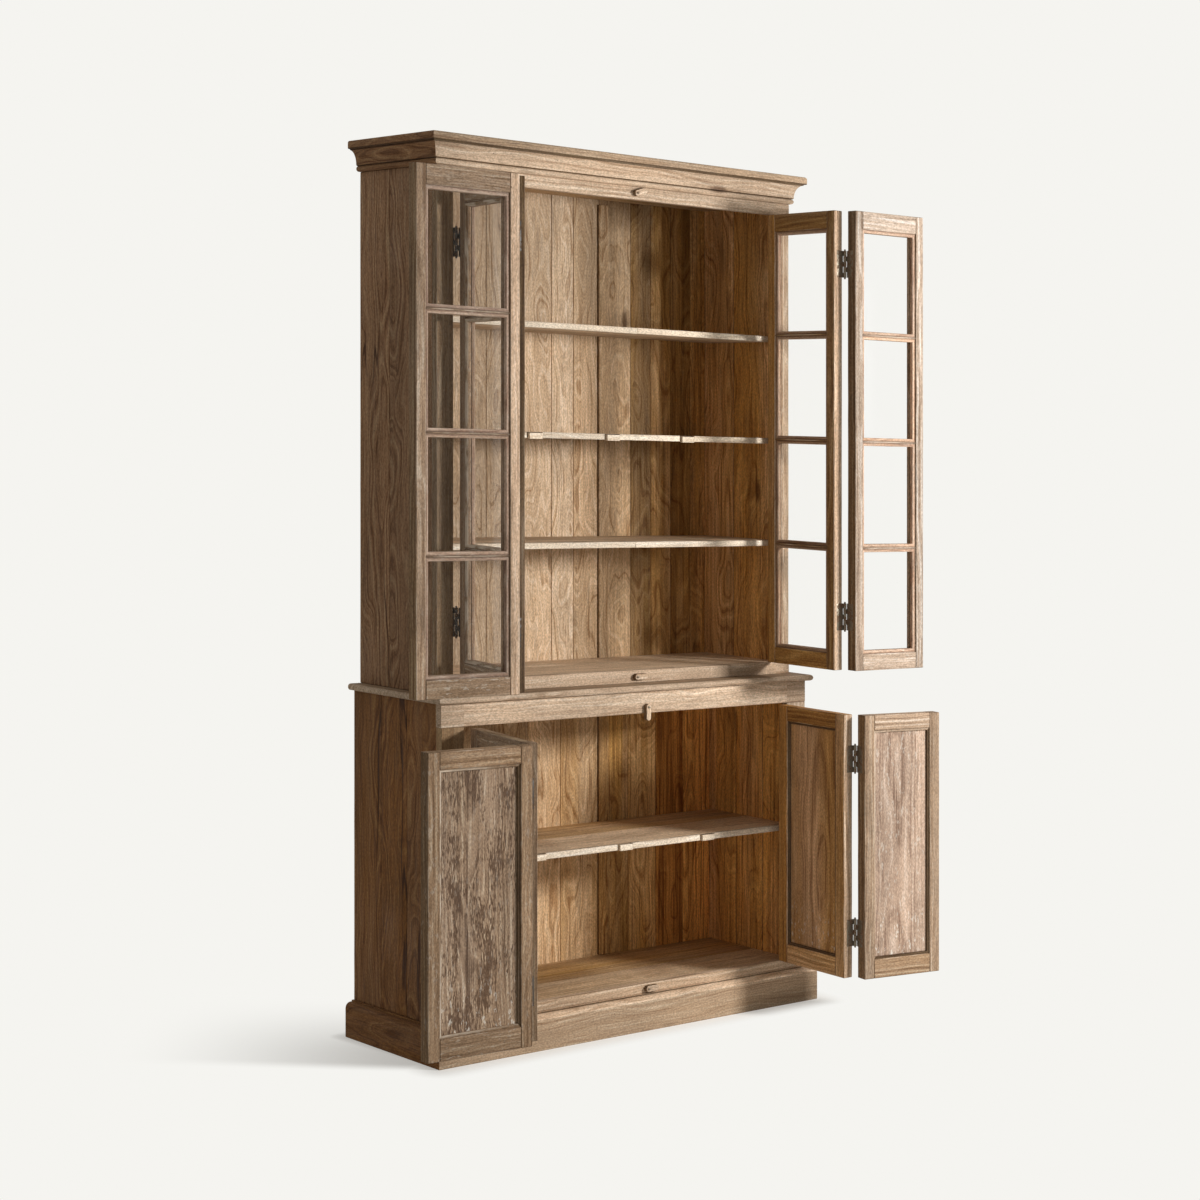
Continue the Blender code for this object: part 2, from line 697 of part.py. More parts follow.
def turn_button(name, front, pivot_z, turn, material):
    """A round-ended wooden button, bored near one end for its screw."""
    radius = BUTTON_W / 2
    outline = arc((0.0, 0.0), (radius, radius), 90, 270, BUTTON_STEPS)
    outline += arc((BUTTON_L - BUTTON_W, 0.0), (radius, radius), -90, 90, BUTTON_STEPS)
    body = loft([[(px, py, lift) for px, py in outline] for lift in (0.0, BUTTON_T)])
    bore = cylinder(SCREW_R + PIN_CLEAR, SCREW_SIDES, (-BUTTON_T, 2 * BUTTON_T))
    button = boolean(body, [bore], "DIFFERENCE")
    place = (MEETING_X, front - BUTTON_CLEAR, pivot_z)
    axis = pivot(f"{name}_axis", place, None, (90.0, 0.0, 0.0))
    axis.rotation_euler.y = math.radians(-turn)
    node(name, button, material, axis)


def build():
    clear_scene()
    looks = {
        "wood": finish("bleached_hardwood", WOOD, 0.7),
        "door": finish("worn_door_wood", DOOR_WOOD, 0.75),
        "iron": finish("black_iron", IRON, 0.5, metallic=1.0),
        "glass": finish("clear_glass", GLASS, 0.03, transmission=1.0),
    }
    lower_case(looks["wood"])
    upper_case(looks["wood"])
    upper = (True, UPPER_HINGE_INSET)
    lower = (LOWER_FRONT, LOWER_LEAF, False, LOWER_HINGE_INSET)
    folding_pair("upper_left", 1, UPPER_FRONT, UPPER_LEAVES[1], *upper, OPEN_UPPER_LEFT, looks)
    folding_pair("upper_right", -1, UPPER_FRONT, UPPER_LEAVES[-1], *upper, OPEN_UPPER_RIGHT, looks)
    folding_pair("lower_left", 1, *lower, OPEN_LOWER_LEFT, looks)
    folding_pair("lower_right", -1, *lower, OPEN_LOWER_RIGHT, looks)
    buttons = {
        "upper_top": (UPPER_FRONT, TURN_UPPER_TOP),
        "upper_bottom": (UPPER_FRONT, TURN_UPPER_BOTTOM),
        "lower_top": (LOWER_FRONT, TURN_LOWER_TOP),
        "lower_bottom": (LOWER_FRONT, TURN_LOWER_BOTTOM),
    }
    for place, (front, turn) in buttons.items():
        turn_button(f"button_{place}", front, BUTTON_Z[place], turn, looks["door"])


build()
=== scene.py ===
"""Looks of a glazed display cabinet on a panelled cupboard, laid out as a Blender add-on.

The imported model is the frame: boards, mouldings, panes and hinges take their places from it.
Metres, +Z up; the front faces -Y.
"""
import json
import math
import random
from contextlib import contextmanager

import bmesh
import bpy
import numpy as np
from bpy.props import FloatProperty, FloatVectorProperty, IntProperty, PointerProperty
from bpy.types import NodeSocket, Operator, Panel, PropertyGroup
from mathutils import Matrix, Vector, noise


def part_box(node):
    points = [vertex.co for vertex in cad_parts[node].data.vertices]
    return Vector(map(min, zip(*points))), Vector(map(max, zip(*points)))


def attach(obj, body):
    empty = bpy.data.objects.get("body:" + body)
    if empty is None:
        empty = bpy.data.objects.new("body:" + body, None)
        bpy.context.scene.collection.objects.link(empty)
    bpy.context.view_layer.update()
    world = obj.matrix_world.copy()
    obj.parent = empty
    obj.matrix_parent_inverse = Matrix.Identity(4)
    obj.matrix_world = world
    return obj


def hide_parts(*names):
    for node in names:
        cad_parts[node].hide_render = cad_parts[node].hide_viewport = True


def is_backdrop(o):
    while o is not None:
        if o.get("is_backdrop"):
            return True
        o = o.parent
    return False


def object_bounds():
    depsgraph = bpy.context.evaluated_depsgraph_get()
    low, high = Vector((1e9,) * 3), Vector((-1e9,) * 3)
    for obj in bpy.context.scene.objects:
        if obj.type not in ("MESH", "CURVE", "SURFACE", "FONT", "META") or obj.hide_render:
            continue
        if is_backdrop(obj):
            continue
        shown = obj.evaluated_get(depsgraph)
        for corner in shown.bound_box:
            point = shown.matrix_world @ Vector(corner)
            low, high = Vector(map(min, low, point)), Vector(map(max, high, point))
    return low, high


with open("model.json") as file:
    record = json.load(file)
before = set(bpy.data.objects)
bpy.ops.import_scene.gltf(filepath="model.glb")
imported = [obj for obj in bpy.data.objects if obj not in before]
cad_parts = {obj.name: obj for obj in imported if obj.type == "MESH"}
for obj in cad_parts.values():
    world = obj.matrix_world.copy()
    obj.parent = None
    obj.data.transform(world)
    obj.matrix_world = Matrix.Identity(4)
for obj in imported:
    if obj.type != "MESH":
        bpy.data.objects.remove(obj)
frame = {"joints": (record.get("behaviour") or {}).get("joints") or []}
CAD_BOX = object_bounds()

bl_info = {
    "name": "Glazed display cabinet",
    "version": (1, 0, 0),
    "blender": (4, 5, 0),
    "location": "View3D > Sidebar > Cabinet",
    "description": "Dresses the cabinet's frame with worn boards, mouldings, glass and iron",
    "category": "Object",
}

X, Y, Z = 0, 1, 2
JOINTS = {joint["name"]: joint for joint in frame["joints"]}
PAIRS = ("upper_left", "upper_right", "lower_left", "lower_right")
# Levels nearer than TOUCH are one level; a normal past FACING looks along its axis
TOUCH = 1e-5
FACING = 0.7
SMOOTH = math.radians(25)
# How a board's rounded edges are marked: rubbed bare above 0, a dark joint below
MARKS = {"worn": 1.0, "plain": 0.0, "faint": -0.4, "joints": -1.0}
# Tones are (lightness, brownness, paint); the shaded ones lie in hollows and on sides away from the lamp
WEATHERED = (0.95, 0.25, 0.15)
SHADED = {
    "fillet": (0.4, 0.6, 0.0), "recess": (0.4, 0.6, 0.0), "quirk": (0.35, 0.6, 0.0),
    "batten": (0.3, 0.7, 0.0), "notch": (0.2, 0.7, 0.0), "button": (0.5, 0.5, 0.0),
}
chance = random.Random(31)


def length(name, default, description):
    return FloatProperty(
        name=name, default=default, description=description, unit="LENGTH", precision=4
    )


def colour(name, default, description):
    return FloatVectorProperty(
        name=name, default=default, description=description, subtype="COLOR", min=0.0, max=1.0
    )


def share(name, default, description):
    return FloatProperty(
        name=name, default=default, description=description, subtype="FACTOR", min=0.0, max=1.0
    )


class CabinetSizes(PropertyGroup):
    """Sizes of the boards, leaves and iron that the frame doesn't state by itself."""
    arris: length("Arris", 0.0016, "Rounding of a board's edges")
    wear: length("Wear", 0.0012, "How deep a board's edges are worn")
    cut: length("Cut", 0.06, "Spacing of the cuts that let a board's edges wander")
    seam: length("Seam", 0.0006, "Gap between neighbouring planks")
    leaf_stile: length("Leaf stile", 0.039, "Width of a glazed leaf's stiles with their bead")
    leaf_thick: length("Leaf thickness", 0.032, "Thickness of a door leaf")
    glazed_top: length("Glazed top rail", 0.060, "Height of a glazed leaf's top rail")
    glazed_bottom: length("Glazed bottom rail", 0.056, "Height of a glazed leaf's bottom rail")
    lights: IntProperty(name="Lights", default=4, description="Number of lights in a glazed leaf")
    bar: length("Glazing bar", 0.023, "Height of a glazing bar with its two beads")
    bead: length("Bead", 0.010, "Width of a glazing bead")
    bead_step: length("Bead step", 0.004, "Depth of a bead below the leaf's inside face")
    ovolo: length("Ovolo", 0.007, "Radius of the moulded edge on a leaf's outside")
    lip: length("Lip", 0.0145, "Depth of the wood in front of the glass")
    pane: length("Pane", 0.003, "Thickness of the glass")
    panel_stile: length("Panel stile", 0.042, "Width of a panelled leaf's stiles with their lip")
    panel_top: length("Panel top rail", 0.050, "Height of a panelled leaf's top rail")
    panel_bottom: length("Panel bottom rail", 0.060, "Height of a panelled leaf's bottom rail")
    panel_thick: length("Panel", 0.012, "Thickness of a panel in its field")
    panel_tongue: length("Panel tongue", 0.007, "Thickness of a panel at its edge")
    panel_field: length("Panel bevel", 0.030, "Width of the sloping border round a panel's field")
    flaked: length("Flaked foot", 0.16, "How high the old paint is left on a panel's foot")
    hinge_gap: length("Hinge gap", 0.0025, "From a hinge's axis to the edge that carries it")
    hinge_proud: length("Hinge proud", 0.0087, "From a hinge's axis to the leaf's outside face")
    hinge_long: length("Hinge length", 0.076, "Height of a butt hinge")
    barrel: length("Barrel", 0.0045, "Radius of a hinge's knuckles")
    pin: length("Pin", 0.0022, "Radius of a hinge's pin")
    plate: length("Plate", 0.002, "Thickness of a hinge's plates")
    plate_wide: length("Plate reach", 0.030, "From a hinge's axis to the far edge of its plates")
    screw: length("Screw", 0.0034, "Radius of the screw heads in the hinges")
    button_wide: length("Button width", 0.017, "Width of a turn button")
    button_long: length("Button length", 0.046, "Length of a turn button")
    button_thick: length("Button thickness", 0.012, "Thickness of a turn button")
    button_round: length("Button rounding", 0.003, "Rounding of a turn button's face")


class CabinetColours(PropertyGroup):
    """Colours of the finishes; each wood has a dark, a middle and a light tint of its figure."""
    bleached_dark: colour("Bleached dark", (0.36, 0.235, 0.145), "Dark figure of the bleached frame")
    bleached: colour("Bleached", (0.55, 0.40, 0.275), "Bleached wood of the case's front")
    bleached_light: colour("Bleached light", (0.70, 0.56, 0.42), "Light figure of the bleached frame")
    # The brown tints are old brown wood, made darker still as painted shade like the shaded left side; all
    # sides and returns take them
    brown_dark: colour("Brown dark", (0.15, 0.07, 0.03), "Dark figure of the case's sides")
    brown: colour("Brown", (0.325, 0.18, 0.094), "Old brown wood of the case's sides")
    brown_light: colour("Brown light", (0.44, 0.276, 0.156), "Light figure of the case's sides")
    plank_dark: colour("Plank dark", (0.36, 0.22, 0.115), "Dark figure of the back's planks")
    plank: colour("Plank", (0.64, 0.47, 0.31), "Wood of the back's planks")
    plank_light: colour("Plank light", (0.78, 0.62, 0.46), "Light figure of the back's planks")
    shelf_dark: colour("Shelf dark", (0.38, 0.265, 0.17), "Dark figure of the shelves")
    shelf: colour("Shelf", (0.60, 0.46, 0.325), "Wood of the shelves and floors")
    shelf_light: colour("Shelf light", (0.70, 0.57, 0.43), "Light figure of the shelves")
    edge_dark: colour("Sawn edge dark", (0.60, 0.46, 0.33), "Dark figure of the shelves' front edges")
    edge: colour("Sawn edge", (0.78, 0.65, 0.50), "Pale front edges of the shelves")
    edge_light: colour("Sawn edge light", (0.86, 0.76, 0.63), "Light figure of the front edges")
    door_dark: colour("Door dark", (0.20, 0.125, 0.075), "Dark figure of the leaves' frames")
    door: colour("Door", (0.40, 0.28, 0.19), "Weathered wood of the leaves' frames")
    door_light: colour("Door light", (0.58, 0.47, 0.37), "Light figure of the leaves' frames")
    panel_dark: colour("Panel dark", (0.15, 0.09, 0.058), "Dark streaks of the panels")
    panel: colour("Panel", (0.475, 0.34, 0.243), "Streaked wood of the panels")
    panel_light: colour("Panel light", (0.78, 0.645, 0.52), "Light streaks of the panels")
    faded_dark: colour("Faded panel dark", (0.25, 0.155, 0.105), "Dark streaks of the right-hand panels")
    faded: colour("Faded panel", (0.49, 0.345, 0.25), "Pinkish wood of the right-hand panels")
    faded_light: colour("Faded panel light", (0.62, 0.47, 0.365), "Light streaks of the right-hand panels")
    bead_dark: colour("Bead dark", (0.22, 0.12, 0.08), "Dark figure of the glazing beads")
    bead: colour("Bead", (0.45, 0.31, 0.23), "Salmon wood of the glazing beads")
    bead_light: colour("Bead light", (0.56, 0.42, 0.33), "Light figure of the glazing beads")
    wear: colour("Worn edge", (0.74, 0.62, 0.49), "Bare wood where edges are rubbed")
    grime: colour("Grime", (0.10, 0.06, 0.035), "Old dirt and stains")
    paint: colour("Old paint", (0.74, 0.68, 0.59), "Flakes of old paint on the leaves")
    iron: colour("Iron", (0.055, 0.048, 0.041), "Blackened iron of the hinges")
    # Paler iron that paints the lamp's light and sheen on the right-hand hinges and the button screws
    lit_iron: colour("Rubbed iron", (0.21, 0.178, 0.13), "Iron rubbed bare on the right-hand hinges")
    rust: colour("Rust", (0.2, 0.115, 0.065), "Rust on the hinges and screws")
    glass: colour("Glass", (0.995, 0.997, 0.995), "Clear old window glass")


class CabinetStage(PropertyGroup):
    """Camera, light and floor."""
    lens: FloatProperty(name="Lens", default=72.586, unit="CAMERA", description="Focal length")
    shift: FloatProperty(name="Shift", default=-0.13877, description="Camera shift up or down")
    eye: FloatVectorProperty(
        name="Eye", default=(-4.4147, -5.1339, 1.6335), subtype="TRANSLATION",
        description="Where the camera stands",
    )
    yaw: FloatProperty(name="Yaw", default=-0.7137, subtype="ANGLE", description="Camera's turn from +Y")
    shear: FloatProperty(name="Shear", default=0.0268, description="Slant of the picture's level lines")
    lamp: FloatVectorProperty(
        name="Lamp", default=(2.2, -3.1, 1.95), subtype="TRANSLATION",
        description="Where the soft lamp stands",
    )
    lamp_size: length("Lamp size", 0.6, "Side of the soft lamp")
    lamp_aim: length("Lamp aim", 1.2, "Height that the lamp points at")
    lamp_power: FloatProperty(name="Lamp power", default=138.0, unit="POWER", description="Soft lamp")
    fill: share("Fill", 0.36, "Strength of the light from all round")
    backdrop: colour("Backdrop", (0.913, 0.905, 0.871), "Off-white floor and background")
    bounce: colour("Bounce", (0.75, 0.74, 0.71), "Floor's colour for the light that it throws back")
    floor_reach: length("Floor reach", 30.0, "Radius of the floor")
    floor_border: length("Floor border", 26.0, "Width of the floor's outer ring")
    floor_shade: share("Floor shade", 0.72, "How much of the floor's tone comes from the light on it")
    floor_glow: share("Floor glow", 0.37, "How much of the floor's tone is its own")
    shadow_long: length("Shadow length", 0.85, "How far the shadow reaches beside the plinth")
    shadow_deep: length("Shadow depth", 0.75, "How far the shadow reaches behind the plinth's front corner")
    contact: length("Contact", 0.09, "Width of the dark line where the plinth meets the floor")


def sizes():
    return bpy.context.scene.cabinet_sizes


def colours():
    return bpy.context.scene.cabinet_colours


def stage():
    return bpy.context.scene.cabinet_stage


# Modelling by hand: primitives, edit mode, joins


def deselect():
    if bpy.context.mode != "OBJECT":
        bpy.ops.object.mode_set(mode="OBJECT")
    bpy.ops.object.select_all(action="DESELECT")


def alone(piece):
    """Selects one piece and makes it active."""
    deselect()
    piece.select_set(True)
    bpy.context.view_layer.objects.active = piece


def block(low, high):
    """A cube drawn out between two corners, with its place in its mesh."""
    deselect()
    low = Vector(low)
    high = Vector(high)
    bpy.ops.mesh.primitive_cube_add(size=1.0, location=(low + high) / 2, scale=high - low)
    bpy.ops.object.transform_apply(location=True, rotation=True, scale=True)
    return bpy.context.object


def anything(first, second):
    """A test that every face and edge passes."""
    return True


@contextmanager
def editing(piece, kind, test):
    """Edit mode with the faces (centre, normal) or edges (two ends) that pass a test selected."""
    alone(piece)
    mesh = piece.data
    for parts in (mesh.vertices, mesh.edges, mesh.polygons):
        parts.foreach_set("select", [False] * len(parts))
    if kind == "FACE":
        chosen = [face for face in mesh.polygons if test(face.center, face.normal)]
    else:
        ends = [vert.co for vert in mesh.vertices]
        chosen = [edge for edge in mesh.edges if test(*(ends[i] for i in edge.vertices))]
    for part in chosen:
        part.select = True
    bpy.context.tool_settings.mesh_select_mode = (False, kind == "EDGE", kind == "FACE")
    bpy.ops.object.mode_set(mode="EDIT")
    yield
    bpy.ops.object.mode_set(mode="OBJECT")


def round_edges(piece, test, radius, segments=2):
    """Rounds the edges whose two ends pass a test."""
    with editing(piece, "EDGE", test):
        bpy.ops.mesh.bevel(offset=radius, segments=segments, affect="EDGES", clamp_overlap=True)


def points_of(mesh):
    """The mesh's points as rows of an array."""
    points = np.empty(len(mesh.vertices) * 3)
    mesh.vertices.foreach_get("co", points)
    return points.reshape(-1, 3)


def nibble(piece, along, depth):
    """Wears the rounded edges unevenly, never outwards."""
    mesh = piece.data
    points = points_of(mesh)
    low = points.min(0)
    high = points.max(0)
    near = (points < low + TOUCH) | (points > high - TOUCH)
    start = Vector([chance.uniform(0.0, 90.0) for _ in range(3)])
    inward = np.sign((low + high) / 2 - points)
    inward[:, along] = 0.0
    for i in np.flatnonzero(~near.any(1)):
        place = Vector(points[i])
        slow = noise.noise(place * 9.0 + start)
        quick = noise.noise(place * 60.0 + start)
        points[i] += inward[i] * depth * max(0.0, 0.25 + 0.6 * slow + 0.6 * quick)
    mesh.vertices.foreach_set("co", points.ravel())
    mesh.update()


def mark_edges(mesh, along, marks):
    """Stores 1 on rounded edges that are rubbed and down to -1 where a board meets its neighbour."""
    narrow = 0.005
    bm = bmesh.new()
    bm.from_mesh(mesh)
    slim = [min(edge.calc_length() for edge in face.edges) < narrow for face in bm.faces]
    worn = np.array([float(all(slim[face.index] for face in vert.link_faces)) for vert in bm.verts])
    bm.free()
    if marks == "ends":
        places = points_of(mesh)[:, along]
        ends = (places < places.min() + narrow) | (places > places.max() - narrow)
        worn = np.where(ends, -worn, worn)
    else:
        worn = worn * MARKS[marks]
    mesh.attributes.new("edge", "FLOAT", "POINT").data.foreach_set("value", worn)


def store_tone(mesh, tone):
    """Stores lightness, brownness and paint: one set, or a choice for each face and its points."""
    tones = np.empty((len(mesh.loops), 3))
    for face in mesh.polygons:
        for loop in face.loop_indices:
            point = mesh.vertices[mesh.loops[loop].vertex_index].co
            tones[loop] = tone(face, point) if callable(tone) else tone
    if "tone" not in mesh.attributes:
        mesh.attributes.new("tone", "FLOAT_VECTOR", "CORNER")
    mesh.attributes["tone"].data.foreach_set("vector", tones.ravel())


def dress(piece, along, tone, marks="plain"):
    """Lays the grain along a board (an axis, or a choice for each face centre) and stores its tone.

    The grain runs in metres along, across and through the board, round a heart that lies off it.
    The marks are a key of MARKS for all the rounded edges, or "ends" for joints at the ends only.
    """
    mesh = piece.data
    points = points_of(mesh)
    middle = (points.min(0) + points.max(0)) / 2
    heart = np.array((
        chance.uniform(5.0, 60.0),
        chance.uniform(-0.05, 0.05),
        chance.choice((-1, 1)) * chance.uniform(0.015, 0.09),
    ))
    grain = np.empty((len(mesh.loops), 3))
    for face in mesh.polygons:
        main = along(face.center) if callable(along) else along
        order = [main, (main + 1) % 3, (main + 2) % 3]
        for loop in face.loop_indices:
            place = points[mesh.loops[loop].vertex_index] - middle
            grain[loop] = place[order] + heart
    mesh.attributes.new("grain", "FLOAT_VECTOR", "CORNER").data.foreach_set("vector", grain.ravel())
    store_tone(mesh, tone)
    mark_edges(mesh, along, marks)
    return piece


def tinted(lightness=1.0, brown=0.0, paint=0.0, spread=0.10):
    """A board's tone, a little different from board to board."""
    return (
        lightness * chance.uniform(1.0 - spread, 1.0 + spread),
        brown + chance.uniform(-spread, spread),
        paint,
    )


def board(low, high, along, tone, marks="ends", square=False):
    """A straight board with rounded, worn edges and its grain along one axis; square ends butt tight."""
    piece = block(low, high)
    long = high[along] - low[along]
    cuts = int(long / sizes().cut)
    if cuts:
        with editing(piece, "EDGE", lambda a, b: abs(a[along] - b[along]) > long / 2):
            bpy.ops.mesh.subdivide(number_cuts=cuts)
    ends = (low[along], high[along])

    def rounded(a, b):
        if abs(a[along] - b[along]) > TOUCH:
            return True
        return not square and any(abs(a[along] - end) < TOUCH for end in ends)
    round_edges(piece, rounded, sizes().arris)
    nibble(piece, along, sizes().wear)
    return dress(piece, along, tone, marks)


def ring(low, high, width):
    """A mitred frame in the XZ plane, of one width all round."""
    piece = block(low, high)
    with editing(piece, "FACE", lambda centre, normal: abs(normal.y) > FACING):
        bpy.ops.mesh.inset(thickness=width)
        bpy.ops.mesh.bridge_edge_loops()
    return piece


def round_inside(piece, low, high, width, level, radius, segments=3):
    """Rounds the inner edges of a ring at one depth."""
    def inner(point):
        return (
            low[X] + width / 2 < point.x < high[X] - width / 2
            and low[Z] + width / 2 < point.z < high[Z] - width / 2
            and abs(point.y - level) < TOUCH
        )
    round_edges(piece, lambda a, b: inner(a) and inner(b), radius, segments)


def ring_grain(low, high):
    """The grain of a ring runs along each of its four sides."""
    def along(centre):
        aside = min(centre.x - low[X], high[X] - centre.x)
        above = min(centre.z - low[Z], high[Z] - centre.z)
        return Z if aside < above else X
    return along


def moulding(profile, start, run, outward, mitres, along, tone):
    """A length of moulding: its profile as (reach, height), drawn out along run, mitred by planes."""
    deselect()
    bpy.ops.mesh.primitive_circle_add(vertices=len(profile), radius=1.0, fill_type="NGON")
    piece = bpy.context.object
    for vert, (reach, height) in zip(piece.data.vertices, profile):
        vert.co = Vector(start) + Vector(outward) * reach + Vector((0.0, 0.0, height))
    piece.data.update()
    with editing(piece, "FACE", anything):
        bpy.ops.mesh.extrude_region_move(TRANSFORM_OT_translate={"value": run})
        for place, normal in mitres:
            bpy.ops.mesh.select_all(action="SELECT")
            bpy.ops.mesh.bisect(plane_co=place, plane_no=normal, use_fill=True, clear_outer=True)
        bpy.ops.mesh.select_all(action="SELECT")
        bpy.ops.mesh.normals_make_consistent(inside=False)
    return dress(piece, along, tone)


def surround(profile, half, front, back, base, tones):
    """A moulding round the front and both sides of a case: three mitred lengths."""
    reach = max(point[0] for point in profile)
    wide = half + 2 * reach
    left_corner = (-half, front, base)
    right_corner = (half, front, base)
    lengths = [moulding(
        profile, (-wide, front, base), (2 * wide, 0, 0), (0, -1, 0),
        ((left_corner, (-1, 1, 0)), (right_corner, (1, 1, 0))), X, tones[0],
    )]
    for side, corner, tone in ((-1, left_corner, tones[1]), (1, right_corner, tones[2])):
        lengths.append(moulding(
            profile, (side * half, front - 2 * reach, base), (0, back - front + 2 * reach, 0),
            (side, 0, 0), ((corner, (-side, -1, 0)),), Y, tone,
        ))
    return lengths


def arc(centre, radius, start, end, steps):
    """Points along a quarter or half round; the angles are in degrees."""
    turns = [math.radians(start + (end - start) * i / steps) for i in range(steps + 1)]
    return [
        (centre[0] + radius[0] * math.cos(turn), centre[1] + radius[1] * math.sin(turn))
        for turn in turns
    ]


def peg(radius, low, high, axis, sides=16, rounding=0.0005):
    """A short round bar between two points' levels on one axis, with its rims rounded."""
    deselect()
    turn = {X: (0.0, math.pi / 2, 0.0), Y: (math.pi / 2, 0.0, 0.0), Z: (0.0, 0.0, 0.0)}[axis]
    low = Vector(low)
    high = Vector(high)
    bpy.ops.mesh.primitive_cylinder_add(
        vertices=sides, radius=radius, depth=(high - low).length, location=(low + high) / 2,
        rotation=turn,
    )
    bpy.ops.object.transform_apply(location=True, rotation=True, scale=True)
    piece = bpy.context.object
    ends = (low[axis], high[axis])

    def rim(a, b):
        return any(abs(a[axis] - end) < TOUCH and abs(b[axis] - end) < TOUCH for end in ends)
    round_edges(piece, rim, rounding)
    return piece


def copied(piece, matrix):
    """A copy with its own mesh, moved by a matrix; a mirrored one is turned right side out."""
    twin = piece.copy()
    twin.data = piece.data.copy()
    bpy.context.scene.collection.objects.link(twin)
    twin.data.transform(matrix)
    if matrix.determinant() < 0:
        twin.data.flip_normals()
    return twin


def regrained(piece, tone):
    """Gives a copied board a stretch of grain and a tone of its own."""
    grain = piece.data.attributes["grain"].data
    values = np.empty(len(grain) * 3)
    grain.foreach_get("vector", values)
    values.reshape(-1, 3)[:, 0] += chance.uniform(2.0, 40.0)
    grain.foreach_set("vector", values)
    store_tone(piece.data, tone)
    return piece


def joined(pieces):
    """Several meshes as one object."""
    deselect()
    for piece in pieces:
        piece.select_set(True)
    bpy.context.view_layer.objects.active = pieces[0]
    if len(pieces) > 1:
        bpy.ops.object.join()
    return bpy.context.object


def moved(piece, matrix):
    """Puts a piece that was modelled at the origin in its place."""
    alone(piece)
    piece.matrix_world = matrix
    bpy.ops.object.transform_apply(location=True, rotation=True, scale=True)
    return piece


def inside_too(piece, finish, test):
    """Gives the faces whose normal passes a test a finish of their own."""
    piece.data.materials.append(finishes()[finish])
    for face in piece.data.polygons:
        if test(face.normal):
            face.material_index = 1


def settle(name, piece, finish, body, slot, *nodes):
    """Names a finished piece, gives it its finish and hands it to the frame."""
    alone(piece)
    piece.name = name
    piece.data.name = name
    bpy.ops.object.shade_smooth_by_angle(angle=SMOOTH)
    piece.data.materials.clear()
    piece.data.materials.append(finishes()[finish])
    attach(piece, body)
    if nodes:
        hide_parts(*nodes)


# Node groups and materials


class Graph:
    """Adds nodes to a tree; an input is a constant or another node's socket."""

    def __init__(self, tree):
        self.tree = tree

    def feed(self, socket, value):
        if isinstance(value, NodeSocket):
            self.tree.links.new(value, socket)
        else:
            socket.default_value = value

    def add(self, kind, inputs=None, **settings):
        made = self.tree.nodes.new("ShaderNode" + kind)
        for key, value in settings.items():
            setattr(made, key, value)
        for key, value in (inputs or {}).items():
            self.feed(made.inputs[key], value)
        return made

    def math(self, operation, first, second=0.0, third=0.0, clamp=False):
        made = self.add("Math", {0: first, 1: second, 2: third}, operation=operation, use_clamp=clamp)
        return made.outputs[0]

    def vector(self, operation, first, second=(0.0, 0.0, 0.0)):
        return self.add("VectorMath", {0: first, 1: second}, operation=operation).outputs

    def scaled(self, vector, factors):
        return self.vector("MULTIPLY", vector, factors)["Vector"]

    def noise(self, vector, factors, detail=2.0, roughness=0.5):
        made = self.add("TexNoise", {
            "Vector": self.scaled(vector, factors), "Scale": 1.0, "Detail": detail,
            "Roughness": roughness,
        })
        return made.outputs["Fac"]

    def remap(self, value, low, high, start=0.0, end=1.0):
        made = self.add("MapRange", {
            "Value": value, "From Min": low, "From Max": high, "To Min": start, "To Max": end,
        }, interpolation_type="SMOOTHSTEP")
        return made.outputs["Result"]

    def mix(self, factor, first, second, blend="MIX"):
        made = self.add("Mix", {0: factor, 6: first, 7: second}, data_type="RGBA", blend_type=blend)
        return made.outputs[2]

    def tinged(self, tint, factor):
        """A tint times a colour, or times one value in all its channels."""
        return self.mix(1.0, tint, factor, "MULTIPLY")

    def attribute(self, name, output):
        return self.add("Attribute", attribute_name=name).outputs[output]

    def group(self, name, inputs):
        return self.add("Group", inputs, node_tree=bpy.data.node_groups[name]).outputs


def start_group(name, inputs, outputs):
    """An empty node group with named sockets; gives the graph, its inputs and its end."""
    group = bpy.data.node_groups.new(name, "ShaderNodeTree")
    for socket, kind in inputs.items():
        group.interface.new_socket(socket, in_out="INPUT", socket_type="NodeSocket" + kind)
    for socket, kind in outputs.items():
        group.interface.new_socket(socket, in_out="OUTPUT", socket_type="NodeSocket" + kind)
    start = group.nodes.new("NodeGroupInput")
    end = group.nodes.new("NodeGroupOutput")
    return Graph(group), start.outputs, end.inputs


